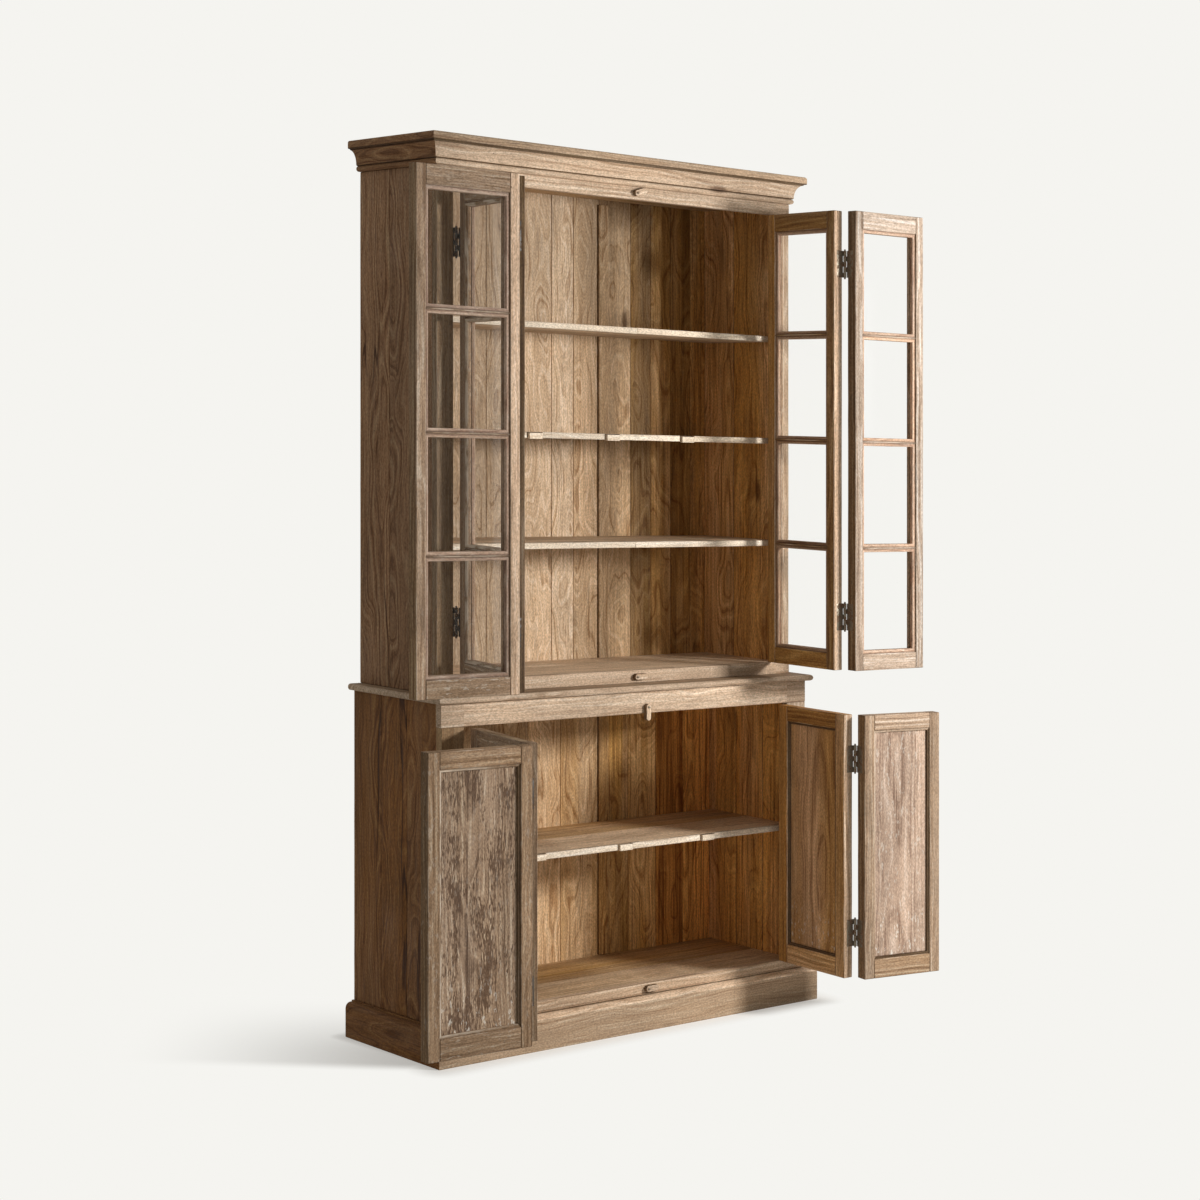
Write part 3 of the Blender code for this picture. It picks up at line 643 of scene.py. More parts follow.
def timber_figure():
    """Sawn timber: growth rings bent round knots, streaks, flecks and cracks along the grain."""
    graph, given, result = start_group(
        "timber_figure",
        {
            "Grain": "Vector", "Dark": "Color", "Middle": "Color", "Light": "Color",
            "Spacing": "Float", "Wander": "Float", "Rings": "Float", "Knots": "Float",
            "Streaks": "Float", "Flecks": "Float", "Cracks": "Float",
        },
        {"Colour": "Color", "Height": "Float"},
    )
    grain = given["Grain"]
    cells = graph.add("TexVoronoi", {"Vector": graph.scaled(grain, (2.6, 8.0, 8.0)), "Scale": 1.0})
    drawn = graph.add("SeparateColor", {"Color": cells.outputs["Color"]}).outputs["Red"]
    absent = graph.math("GREATER_THAN", drawn, given["Knots"])
    distance = graph.math("ADD", cells.outputs["Distance"], absent)
    core = graph.remap(distance, 0.13, 0.04)
    bulge = graph.math("MULTIPLY", graph.remap(distance, 0.55, 0.0), 0.016)
    wander = graph.noise(grain, (2.4, 7.0, 7.0), 2.0)
    radius = graph.vector("LENGTH", graph.scaled(grain, (0.0, 1.0, 1.0)))["Value"]
    warped = graph.math("MULTIPLY_ADD", wander, given["Wander"], radius)
    warped = graph.math("ADD", warped, bulge)
    count = graph.math("DIVIDE", warped, given["Spacing"])
    rings = graph.add("TexNoise", {
        "W": count, "Scale": 1.0, "Detail": 3.0, "Roughness": 0.6,
    }, noise_dimensions="1D").outputs["Fac"]
    late = graph.remap(graph.math("FRACT", count), 0.30, 0.98)
    patchy = graph.remap(graph.noise(grain, (3.0, 22.0, 22.0), 2.0), 0.34, 0.60)
    late = graph.math("MULTIPLY", graph.math("MULTIPLY", late, patchy), given["Rings"])
    streak = graph.noise(grain, (2.0, 120.0, 120.0), 3.0, 0.6)
    fibre = graph.noise(grain, (9.0, 260.0, 260.0), 2.0)
    base = graph.math("MULTIPLY_ADD", fibre, 0.4, graph.math("MULTIPLY", rings, 0.6))
    figure = graph.add("Mix", {0: given["Streaks"], 2: base, 3: streak}, data_type="FLOAT").outputs[0]
    lower = graph.mix(graph.remap(figure, 0.36, 0.50), given["Dark"], given["Middle"])
    tint = graph.mix(graph.remap(figure, 0.50, 0.64), lower, given["Light"])
    cloud = graph.math("MULTIPLY", graph.noise(grain, (9.0, 22.0, 22.0), 2.0), 0.45)
    fine = graph.math("MULTIPLY_ADD", graph.noise(grain, (62.0, 280.0, 280.0), 2.0), 0.55, cloud)
    flecks = graph.math("MULTIPLY", graph.remap(fine, 0.50, 0.60), given["Flecks"])
    tint = graph.mix(graph.math("MAXIMUM", flecks, late), tint, given["Dark"])
    split = graph.math("ABSOLUTE", graph.math("SUBTRACT", graph.noise(grain, (0.7, 9.0, 9.0), 3.0), 0.5))
    here = graph.remap(graph.noise(grain, (1.6, 5.0, 5.0), 1.0), 0.52, 0.60)
    crack = graph.math("MULTIPLY", graph.remap(split, 0.012, 0.003), given["Cracks"])
    crack = graph.math("MULTIPLY", crack, here)
    dark_heart = graph.tinged(given["Dark"], (0.36, 0.30, 0.27, 1.0))
    gone = graph.math("MAXIMUM", graph.math("MULTIPLY", core, 0.85), crack)
    graph.feed(result["Colour"], graph.mix(gone, tint, dark_heart))
    relief = graph.math("MULTIPLY_ADD", rings, 0.4, graph.math("MULTIPLY", fibre, 0.6))
    sunk = graph.math("MAXIMUM", graph.math("MULTIPLY", flecks, 0.4), crack)
    graph.feed(result["Height"], graph.math("SUBTRACT", relief, sunk))


def aged_surface():
    """Age on wood: each board's own tone (with painted light and shade), stains, nail holes, rubbed edges,
    joints and paint flakes.
    """
    graph, given, result = start_group(
        "aged_surface",
        {
            "Colour": "Color", "Grain": "Vector", "Tone": "Vector", "Edge": "Float",
            "Wear": "Color", "Grime": "Color", "Paint": "Color", "Rubbing": "Float",
            "Stains": "Float", "Bands": "Float",
        },
        {"Colour": "Color", "Roughness": "Float"},
    )
    grain = given["Grain"]
    tone = graph.add("SeparateXYZ", {0: given["Tone"]}).outputs
    lightness, brown, paint = tone["X"], tone["Y"], tone["Z"]
    browned = graph.tinged(given["Colour"], (0.62, 0.455, 0.20, 1.0))
    uneven = graph.remap(graph.noise(grain, (1.2, 13.0, 13.0), 2.0), 0.3, 0.7, 0.8, 1.2)
    tint = graph.mix(graph.math("MULTIPLY", brown, uneven), given["Colour"], browned)
    ruddy = graph.tinged(tint, (1.0, 0.72, 0.50, 1.0))
    tint = graph.mix(graph.math("SUBTRACT", brown, 1.0, clamp=True), tint, ruddy)
    greyed = graph.tinged(tint, (1.0, 1.14, 1.34, 1.0))
    tint = graph.mix(graph.math("MULTIPLY", brown, -1.0), tint, greyed)
    # Lightness from the tones, which on some boards paints light and shade
    tint = graph.tinged(tint, lightness)
    blotch = graph.remap(graph.noise(grain, (1.8, 10.0, 10.0), 3.0), 0.3, 0.7, 0.84, 1.14)
    tint = graph.tinged(tint, blotch)
    heart = graph.tinged(tint, (0.46, 0.38, 0.30, 1.0))
    band = graph.remap(graph.noise(grain, (0.8, 24.0, 24.0), 3.0), 0.48, 0.66)
    line = graph.remap(graph.noise(grain, (3.0, 130.0, 130.0), 2.0), 0.50, 0.62)
    band = graph.math("MULTIPLY", graph.math("MAXIMUM", band, line), given["Bands"])
    band = graph.math("MULTIPLY", band, brown, clamp=True)
    tint = graph.mix(band, tint, heart)
    grit = graph.remap(graph.noise(grain, (150.0, 330.0, 330.0), 2.0), 0.3, 0.7, 0.76, 1.20)
    tint = graph.tinged(tint, grit)
    stain = graph.remap(graph.noise(grain, (6.0, 34.0, 34.0), 4.0, 0.65), 0.56, 0.72)
    tint = graph.mix(graph.math("MULTIPLY", stain, given["Stains"]), tint, given["Grime"])
    holes = graph.add("TexVoronoi", {"Vector": graph.scaled(grain, (13.0, 13.0, 13.0)), "Scale": 1.0})
    chosen = graph.add("SeparateColor", {"Color": holes.outputs["Color"]}).outputs["Green"]
    few = graph.math("LESS_THAN", chosen, 0.35)
    spot = graph.math("MULTIPLY", graph.remap(holes.outputs["Distance"], 0.034, 0.018), few)
    tint = graph.mix(graph.math("MULTIPLY", spot, 0.8), tint, given["Grime"])
    rubbed = graph.remap(graph.noise(grain, (18.0, 70.0, 70.0), 3.0), 0.36, 0.60)
    worn = graph.math("MAXIMUM", given["Edge"], 0.0)
    rubbed = graph.math("MULTIPLY", graph.math("MULTIPLY", rubbed, worn), given["Rubbing"])
    tint = graph.mix(rubbed, tint, given["Wear"])
    meeting = graph.math("MAXIMUM", graph.math("MULTIPLY", given["Edge"], -1.0), 0.0)
    tint = graph.mix(graph.math("MULTIPLY", meeting, 0.8), tint, given["Grime"])
    flakes = graph.remap(graph.noise(grain, (40.0, 100.0, 100.0), 4.0, 0.65), 0.57, 0.65)
    flakes = graph.math("MULTIPLY", flakes, paint)
    graph.feed(result["Colour"], graph.mix(flakes, tint, given["Paint"]))
    dry = graph.noise(grain, (8.0, 120.0, 120.0), 3.0)
    graph.feed(result["Roughness"], graph.remap(dry, 0.3, 0.7, 0.62, 0.86))


def rough_metal():
    """Old iron: patches of rust over black scale, and a pitted surface."""
    graph, given, result = start_group(
        "rough_metal",
        {"Place": "Vector", "Iron": "Color", "Rust": "Color"},
        {"Colour": "Color", "Roughness": "Float", "Height": "Float"},
    )
    place = given["Place"]
    patch = graph.remap(graph.noise(place, (90.0, 90.0, 90.0), 4.0, 0.6), 0.42, 0.66)
    graph.feed(result["Colour"], graph.mix(patch, given["Iron"], given["Rust"]))
    graph.feed(result["Roughness"], graph.remap(patch, 0.0, 1.0, 0.42, 0.8))
    graph.feed(result["Height"], graph.noise(place, (900.0, 900.0, 900.0), 3.0))


def opaque(rgb):
    """A colour with full alpha, as sockets take it."""
    return (*rgb, 1.0)


def start_material(name):
    """A new material with one Principled shader; gives its graph and the shader."""
    material = bpy.data.materials.new(name)
    material.use_nodes = True
    return Graph(material.node_tree), material.node_tree.nodes["Principled BSDF"]


def emboss(graph, shader, height, strength, depth):
    """Lets a height raise and sink a shader's surface."""
    bump = graph.add("Bump", {"Strength": strength, "Distance": depth, "Height": height})
    graph.feed(shader.inputs["Normal"], bump.outputs["Normal"])


def wood(name, tints, **look):
    """A finish of worn timber whose figure follows the boards' own grain."""
    given = {
        "spacing": 0.007, "wander": 0.10, "rings": 0.35, "knots": 0.16, "streaks": 0.35,
        "flecks": 0.25, "cracks": 0.0, "rubbing": 0.7, "stains": 0.35, "bands": 0.0,
        "relief": 0.0008, **look,
    }
    tone = colours()
    graph, shader = start_material(name)
    grain = graph.attribute("grain", "Vector")
    figure = graph.group("timber_figure", {
        "Grain": grain, "Dark": opaque(getattr(tone, tints + "_dark")),
        "Middle": opaque(getattr(tone, tints)), "Light": opaque(getattr(tone, tints + "_light")),
        **{key: given[key.lower()] for key in (
            "Spacing", "Wander", "Rings", "Knots", "Streaks", "Flecks", "Cracks",
        )},
    })
    surface = graph.group("aged_surface", {
        "Colour": figure["Colour"], "Grain": grain, "Tone": graph.attribute("tone", "Vector"),
        "Edge": graph.attribute("edge", "Fac"), "Wear": opaque(tone.wear),
        "Grime": opaque(tone.grime), "Paint": opaque(tone.paint),
        "Rubbing": given["rubbing"], "Stains": given["stains"], "Bands": given["bands"],
    })
    graph.feed(shader.inputs["Base Color"], surface["Colour"])
    graph.feed(shader.inputs["Roughness"], surface["Roughness"])
    shader.inputs["Specular IOR Level"].default_value = 0.2
    emboss(graph, shader, figure["Height"], 0.5, given["relief"])


def iron(name, tint, rust):
    """A finish of old iron with patches of rust."""
    graph, shader = start_material(name)
    surface = graph.group("rough_metal", {
        "Place": graph.add("TexCoord").outputs["Object"], "Iron": opaque(tint),
        "Rust": opaque(rust),
    })
    graph.feed(shader.inputs["Base Color"], surface["Colour"])
    graph.feed(shader.inputs["Roughness"], surface["Roughness"])
    shader.inputs["Metallic"].default_value = 0.55
    emboss(graph, shader, surface["Height"], 0.4, 0.0003)


def glass(name):
    """Clear old glass, slightly wavy, that lets the lamp's light through to what is behind it."""
    graph, shader = start_material(name)
    shader.inputs["Base Color"].default_value = opaque(colours().glass)
    shader.inputs["Roughness"].default_value = 0.02
    shader.inputs["IOR"].default_value = 1.12
    shader.inputs["Transmission Weight"].default_value = 1.0
    wave = graph.noise(graph.add("TexCoord").outputs["Object"], (9.0, 9.0, 9.0), 1.0)
    emboss(graph, shader, wave, 0.12, 0.002)
    path = graph.add("LightPath").outputs
    clear = graph.add("BsdfTransparent", {"Color": opaque(colours().glass)})
    passing = graph.math("MAXIMUM", path["Is Shadow Ray"], path["Is Diffuse Ray"])
    mixed = graph.add("MixShader", {0: passing, 1: shader.outputs[0], 2: clear.outputs[0]})
    graph.feed(graph.tree.nodes["Material Output"].inputs["Surface"], mixed.outputs[0])


def finishes():
    """Builds the node groups and the finishes once, by name."""
    if "timber_figure" not in bpy.data.node_groups:
        timber_figure()
        aged_surface()
        rough_metal()
        wood("bleached_case", "bleached", streaks=0.45, stains=0.35, rubbing=0.5, wander=0.08)
        # The sides' wood: its own old brown, with painted shade
        wood(
            "brown_case", "brown", spacing=0.009, wander=0.2, rings=0.4, streaks=0.15, rubbing=0.3,
            stains=0.3, cracks=0.9, bands=0.35,
        )
        wood(
            "mixed_planks", "plank", spacing=0.008, wander=0.2, rings=0.28, knots=0.35, streaks=0.1,
            flecks=0.1, rubbing=0.3, bands=0.65,
        )
        wood("dry_shelf", "shelf", streaks=0.5, knots=0.08, rubbing=0.4, bands=0.5)
        wood("sawn_edge", "edge", streaks=0.5, knots=0.0, rubbing=0.2, stains=0.25, flecks=0.15)
        wood("weathered_leaf", "door", streaks=0.5, knots=0.05, rubbing=0.7, flecks=0.45, wander=0.07)
        wood(
            "bleached_leaf", "door", streaks=0.4, rings=0.15, knots=0.05, flecks=0.2, stains=0.25,
            wander=0.05,
        )
        wood("streaked_panel", "panel", rings=0.1, knots=0.05, flecks=0.95, relief=0.0015)
        wood("smooth_panel", "faded", streaks=0.3, rings=0.15, knots=0.05, flecks=0.35, wander=0.05)
        wood("salmon_bead", "bead", knots=0.0, rubbing=0.25, stains=0.45, rings=0.2)
        tone = colours()
        iron("black_iron", tone.iron, [part / 2 for part in tone.rust])
        iron("rusty_iron", tone.lit_iron, tone.rust)
        glass("old_glass")
    return bpy.data.materials


# Stage


def make_camera():
    """A level camera whose picture is slightly sheared, held by an empty's inverse matrix."""
    given = stage()
    camera = bpy.data.cameras.new("camera")
    camera.lens = given.lens
    camera.sensor_width = 36.0
    camera.shift_y = given.shift
    forward = Vector((-math.sin(given.yaw), math.cos(given.yaw), 0.0))
    up = Vector((0.0, 0.0, 1.0))
    right = forward.cross(up) + given.shear * up
    skew = Matrix((right, up, -forward)).transposed().to_4x4()
    skew.translation = given.eye
    holder = bpy.data.objects.new("camera_holder", None)
    eye = bpy.data.objects.new("camera", camera)
    for made in (holder, eye):
        bpy.context.scene.collection.objects.link(made)
    eye.parent = holder
    eye.matrix_parent_inverse = skew
    bpy.context.scene.camera = eye


def make_lamp():
    """One soft lamp, in front and to the right, level with the upper case."""
    given = stage()
    lamp = bpy.data.lights.new("soft_lamp", "AREA")
    lamp.energy = given.lamp_power
    lamp.size = given.lamp_size
    holder = bpy.data.objects.new("soft_lamp", lamp)
    bpy.context.scene.collection.objects.link(holder)
    holder.location = given.lamp
    aim = Vector((0.0, 0.0, given.lamp_aim)) - Vector(given.lamp)
    holder.rotation_euler = aim.to_track_quat("-Z", "Y").to_euler()


def seen_rays(graph):
    """1 for rays that show the backdrop itself, 0 for those that light the object."""
    path = graph.add("LightPath").outputs
    shown = graph.math("MAXIMUM", path["Is Camera Ray"], path["Is Glossy Ray"])
    return graph.math("MAXIMUM", shown, path["Is Transmission Ray"])


def make_world():
    """Even light from all round; the rays that show the backdrop see it at full strength."""
    given = stage()
    world = bpy.data.worlds.new("studio")
    bpy.context.scene.world = world
    world.use_nodes = True
    graph = Graph(world.node_tree)
    light = world.node_tree.nodes["Background"]
    light.inputs["Color"].default_value = opaque(given.backdrop)
    light.inputs["Strength"].default_value = given.fill
    shown = graph.add("Background", {"Color": opaque(given.backdrop), "Strength": 1.0})
    mixed = graph.add("MixShader", {0: seen_rays(graph), 1: light.outputs[0], 2: shown.outputs[0]})
    graph.feed(world.node_tree.nodes["World Output"].inputs["Surface"], mixed.outputs[0])


def floor_shadow(graph):
    """1 where the floor takes shadow: a stretch beside the plinth and a narrow line round it."""
    given = stage()
    low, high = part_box("plinth")
    place = graph.add("TexCoord").outputs["Object"]
    from_corner = graph.vector("SUBTRACT", place, (low.x, low.y, 0.0))["Vector"]
    side = Vector((-math.cos(given.yaw), -math.sin(given.yaw), 0.0))
    behind = Vector((-math.sin(given.yaw), math.cos(given.yaw), 0.0))
    along = graph.vector("DOT_PRODUCT", from_corner, side)["Value"]
    deep = graph.vector("DOT_PRODUCT", from_corner, behind)["Value"]
    stretch = graph.remap(deep, -0.03, 0.06)
    for fade in (
        graph.remap(deep, given.shadow_deep, 0.1), graph.remap(along, -0.08, 0.02),
        graph.remap(along, given.shadow_long, 0.0),
    ):
        stretch = graph.math("MULTIPLY", stretch, fade)
    half = (high - low) / 2
    middle = (high + low) / 2
    offset = graph.vector("SUBTRACT", place, (middle.x, middle.y, 0.0))["Vector"]
    offset = graph.vector("ABSOLUTE", offset)["Vector"]
    beyond = graph.vector("SUBTRACT", offset, (half.x, half.y, 0.0))["Vector"]
    outside = graph.vector("MAXIMUM", beyond)["Vector"]
    away = graph.vector("LENGTH", outside)["Value"]
    return graph.math("MAXIMUM", stretch, graph.remap(away, given.contact, 0.0))


def make_floor():
    """A seamless floor: it takes the shadow near the plinth and is the background elsewhere."""
    given = stage()
    deselect()
    bpy.ops.mesh.primitive_circle_add(vertices=64, radius=given.floor_reach, fill_type="NGON")
    floor = bpy.context.object
    floor.name = "floor"
    with editing(floor, "FACE", anything):
        bpy.ops.mesh.inset(thickness=given.floor_border)
    graph, shader = start_material("studio_floor")
    shader.inputs["Base Color"].default_value = opaque(given.bounce)
    shader.inputs["Roughness"].default_value = 1.0
    backdrop = opaque(given.backdrop)
    shaded = opaque([given.floor_shade * part for part in given.backdrop])
    shade = graph.add("BsdfDiffuse", {"Color": shaded})
    glow = graph.add("Emission", {"Color": backdrop, "Strength": given.floor_glow})
    near_look = graph.add("AddShader", {0: shade.outputs[0], 1: glow.outputs[0]})
    far_look = graph.add("Emission", {"Color": backdrop, "Strength": 1.0})
    look = graph.add("MixShader", {
        0: floor_shadow(graph), 1: far_look.outputs[0], 2: near_look.outputs[0],
    })
    mixed = graph.add("MixShader", {0: seen_rays(graph), 1: shader.outputs[0], 2: look.outputs[0]})
    graph.feed(graph.tree.nodes["Material Output"].inputs["Surface"], mixed.outputs[0])
    floor.data.materials.append(bpy.data.materials["studio_floor"])
    floor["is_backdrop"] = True


class CABINET_OT_stage(Operator):
    """Set up the floor, the light and the camera"""
    bl_idname = "cabinet.stage"
    bl_label = "Stage"

    def execute(self, context):
        context.scene.view_settings.view_transform = "Standard"
        make_camera()
        make_lamp()
        make_world()
        make_floor()
        return {"FINISHED"}


# Case


def planks(node, along, split, seams, tones):
    """Boards side by side that fill a node's box, split at seams on one axis; tones() draws each tone."""
    low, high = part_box(node)
    gap = sizes().seam / 2
    places = [low[split], *seams, high[split]]
    boards = []
    for i, (start, end) in enumerate(zip(places, places[1:])):
        near = low.copy()
        far = high.copy()
        near[split] = start + (gap if i else 0.0)
        far[split] = end - (gap if i < len(seams) else 0.0)
        boards.append(board(near, far, along, tones(), "faint"))
    return boards


class CABINET_OT_plinth(Operator):
    """Build the plinth: mitred moulded lengths, a back rail and a middle bearer"""
    bl_idname = "cabinet.plinth"
    bl_label = "Plinth"

    mould: length("Moulding", 0.016, "Radius of the moulded top edge")
    proud: length("Proud", 0.025, "How far the plinth stands out from the case")
    thick: length("Thickness", 0.026, "Thickness inside the case's outline")
    fillet: length("Fillet", 0.004, "Small step above the moulding")
    bearer: length("Bearer", 0.060, "Width of the middle bearer")

    def execute(self, context):
        low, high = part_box("plinth")
        half = high.x - self.proud
        front = low.y + self.proud
        step = self.proud - self.mould
        top = high.z
        chamfer = (0.001, 0.002)
        profile = [(-self.thick, 0.0), (self.proud - chamfer[0], 0.0), (self.proud, chamfer[1])]
        profile += arc(
            (step, top - self.mould - self.fillet), (self.mould, self.mould), 0, 90, 6
        )
        profile += [(step - self.fillet, top - self.fillet), (step - self.fillet, top), (-self.thick, top)]
        faced = tinted(0.98, 0.32)

        def fillet_shade_and_highlight(face, point):
            """Painted shade in the fillet and a painted highlight on the moulding's upward faces."""
            if face.center.z > top - self.fillet * 1.05 and face.normal.z < 0.9:
                return SHADED["fillet"]
            return (1.3, 0.05, 0.0) if face.normal.z > 0.35 else faced
        tones = [fillet_shade_and_highlight, tinted(1.05, 0.8), tinted(1.05, 0.8)]
        lengths = surround(profile, half, front, high.y, 0.0, tones)
        sides = joined(lengths[1:])
        settle("plinth_returns", sides, "brown_case", "cabinet", "carcass_wood", "plinth")
        settle("plinth_front", lengths[0], "bleached_case", "cabinet", "carcass_wood", "plinth")
        inside = half - self.thick / 2
        rail = board((-inside, high.y - self.thick, 0.0), (inside, high.y - 0.001, top), X, tinted())
        middle = board(
            (-self.bearer / 2, front + self.thick / 2, 0.0),
            (self.bearer / 2, high.y - self.thick, top), Y, tinted(),
        )
        inner = joined([rail, middle])
        settle("plinth_bearers", inner, "brown_case", "cabinet", "carcass_wood", "plinth")
        return {"FINISHED"}


class CABINET_OT_sides(Operator):
    """Build the planked sides of both cases"""
    bl_idname = "cabinet.sides"
    bl_label = "Sides"

    def execute(self, context):
        seams = {"lower": (0.35, 0.66), "upper": (0.58,)}
        outside = {"lower": (1.12, 0.75), "upper": (0.97, 0.0)}
        # The right-hand inner walls' high lightness and brownness are painted warm light in their shade
        inside = {
            "lower_left": (1.0, 0.45), "lower_right": (2.0, 0.95),
            "upper_left": (0.95, 0.3), "upper_right": (1.8, 0.82),
        }
        for case, shares in seams.items():
            for hand, way in (("left", 1), ("right", -1)):
                node = f"{case}_side_{hand}"
                low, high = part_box(node)
                places = [low.y + part * (high.y - low.y) for part in shares]

                def inward(normal):
                    return normal.x * way > FACING

                def tones():
                    room = tinted(*inside[f"{case}_{hand}"])
                    street = tinted(*outside[case], 0.0, 0.05)
                    return lambda face, point: room if inward(face.normal) else street
                piece = joined(planks(node, Z, Y, places, tones))
                settle(f"{node}_planks", piece, "brown_case", "cabinet", "carcass_wood", node)
                inside_too(piece, "mixed_planks", inward)
        return {"FINISHED"}


class CABINET_OT_face_frames(Operator):
    """Build the stiles and rails round the door openings"""
    bl_idname = "cabinet.face_frames"
    bl_label = "Face frames"

    def execute(self, context):
        opening = abs(JOINTS["upper_left_inner_swing"]["pos_m"][0]) + sizes().hinge_gap
        # Painted shade on the left stiles, which lie in the shade of the open leaves
        shaded = {"lower": (0.95, 0.55), "upper": (0.62, 0.6)}
        rail_tones = {
            "lower_bottom": (1.0, 0.1), "lower_top": (1.04, -0.03),
            "upper_bottom": (1.0, 0.0), "upper_top": (1.0, -0.05),
        }
        for case in ("lower", "upper"):
            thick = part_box(f"{case}_side_left")[0].y
            front = JOINTS[f"{case}_left_inner_swing"]["pos_m"][1] + sizes().hinge_proud
            rails = {level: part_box(f"{case}_{level}_rail") for level in ("bottom", "top")}
            tones = {level: tinted(*rail_tones[f"{case}_{level}"], 0.0, 0.03) for level in rails}
            for hand, side in (("left", -1), ("right", 1)):
                node = f"{case}_stile_{hand}"
                low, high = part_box(node)
                edges = sorted((side * opening, low.x if side < 0 else high.x))
                tone = self.inner_lit(tinted(*shaded[case])) if side < 0 else tinted()
                foot = rails["bottom"][1].z
                head = rails["top"][0].z

                def part(start, end, *way):
                    return board((edges[0], front, start), (edges[1], thick, end), *way)
                post = joined([
                    part(foot, head, Z, tone),
                    part(low.z, foot, X, tones["bottom"], "plain", True),
                    part(head, high.z, X, tones["top"], "plain", True),
                ])
                settle(f"{node}_post", post, "bleached_case", "cabinet", "carcass_wood", node)
            for level, (low, high) in rails.items():
                node = f"{case}_{level}_rail"
                ends = ((-opening, front, low.z), (opening, thick, high.z))
                rail = board(*ends, X, tones[level], "plain", True)
                settle(f"{node}_bar", rail, "bleached_case", "cabinet", "carcass_wood", node)
        return {"FINISHED"}

    def inner_lit(self, tone):
        """A left stile's painted-shade tone, with a paler tone, painted light, on the edge that looks into
        the opening.
        """
        pale = (1.15, 0.0, 0.0)
        return lambda face, point: pale if face.normal.x > FACING else tone


class CABINET_OT_backs(Operator):
    """Build the plank backs with their rounded cover battens"""
    bl_idname = "cabinet.backs"
    bl_label = "Backs"

    batten_x: length("Batten place", 0.210, "Middle of the cover batten, from the case's middle")
    batten_wide: length("Batten width", 0.040, "Width of the cover batten")
    batten_short: length("Batten end", 0.02, "From the batten's ends to the back's")
    batten_round: length("Batten rounding", 0.0075, "Rounding of the batten's front")
    back_thick: length("Back", 0.012, "Thickness of the planks")
    uneven: length("Unevenness", 0.0012, "How far the planks' faces lie out of line")
    roof_shade_depth: length("Soot", 0.40, "How far down the planks are darker under the roof")

    def execute(self, context):
        layout = {
            "upper": (-0.47, -0.36, -0.22, -0.10, 0.017, 0.099, 0.205, 0.32, 0.40, 0.48, 0.56),
            "lower": (-0.47, -0.33, -0.20, -0.07, 0.05, 0.205, 0.31, 0.42, 0.53),
        }
        paler = {"upper": (1.02, 0.1), "lower": (1.33, 0.45)}
        duller = {"upper": (0.7, 0.15), "lower": (0.9, 0.5)}
        # How much painted shadow darkens each back at its top
        roof_shade_share = {"upper": 0.22, "lower": 0.05}
        batten_tones = {"upper": (1.0, 0.35), "lower": (1.45, 0.7)}
        dull = 4
        # The right-hand planks' high lightness and brownness are painted warm light in the shade of the
        # right-hand leaves, over their own browner wood
        brown_bounce_lit = {
            "upper": ((1.1, 0.25), (1.08, 0.38), (0.86, 0.8), (1.3, 0.85), (1.25, 1.1), (1.8, 1.0)),
            "lower": ((1.36, 0.6), (1.3, 0.95), (1.9, 1.05), (1.75, 1.65), (2.45, 1.35)),
        }
        for case, seams in layout.items():
            node = f"{case}_back"
            low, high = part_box(node)
            edges = (low.x, *seams, high.x)
            gap = sizes().seam
            pale = len(seams) + 1 - len(brown_bounce_lit[case]) - dull
            tones = [duller[case]] * dull + [paler[case]] * pale + list(brown_bounce_lit[case])
            boards = []
            for start, end, tone in zip(edges, edges[1:], tones):
                front = high.y - self.back_thick + chance.uniform(0.0, self.uneven)
                tone = self.roof_shaded(high.z, roof_shade_share[case], tinted(*tone, 0.0, 0.05))
                boards.append(board(
                    (start + gap / 2, front, low.z), (end - gap / 2, high.y, high.z), Z, tone, "faint",
                ))
            settle(f"{node}_planks", joined(boards), "mixed_planks", "cabinet", "back_planks", node)
            self.batten(node, low, high, tinted(*batten_tones[case]))
        return {"FINISHED"}

    def roof_shaded(self, top, depth, tone):
        """A plank's tone: painted shadow darkens it under the roof, and it is weathered alike on the
        outside.
        """
        lightness, brown, paint = tone
        outside = tinted(0.62, 0.45)

        def chosen(face, point):
            if face.normal.y > FACING:
                return outside
            # Painted shadow of the roof, strongest at the top
            near_top = min(1.0, max(0.0, 1.0 - (top - point.z) / self.roof_shade_depth))
            return (lightness * (1.0 - depth * near_top), brown, paint)
        return chosen

    def batten(self, node, low, high, tone):
        """A strip with a rounded front that covers one joint; its left side lies in shade."""
        half = self.batten_wide / 2
        strip = block(
            (self.batten_x - half, low.y, low.z + self.batten_short),
            (self.batten_x + half, high.y - self.back_thick, high.z - self.batten_short),
        )

        def front(a, b):
            return abs(a.z - b.z) > self.batten_wide and a.y < low.y + TOUCH
        round_edges(strip, front, self.batten_round, 5)
        dress(strip, Z, lambda face, point: SHADED["batten"] if face.normal.x < -0.8 else tone)
        settle(f"{node}_batten", strip, "mixed_planks", "cabinet", "back_planks", node)


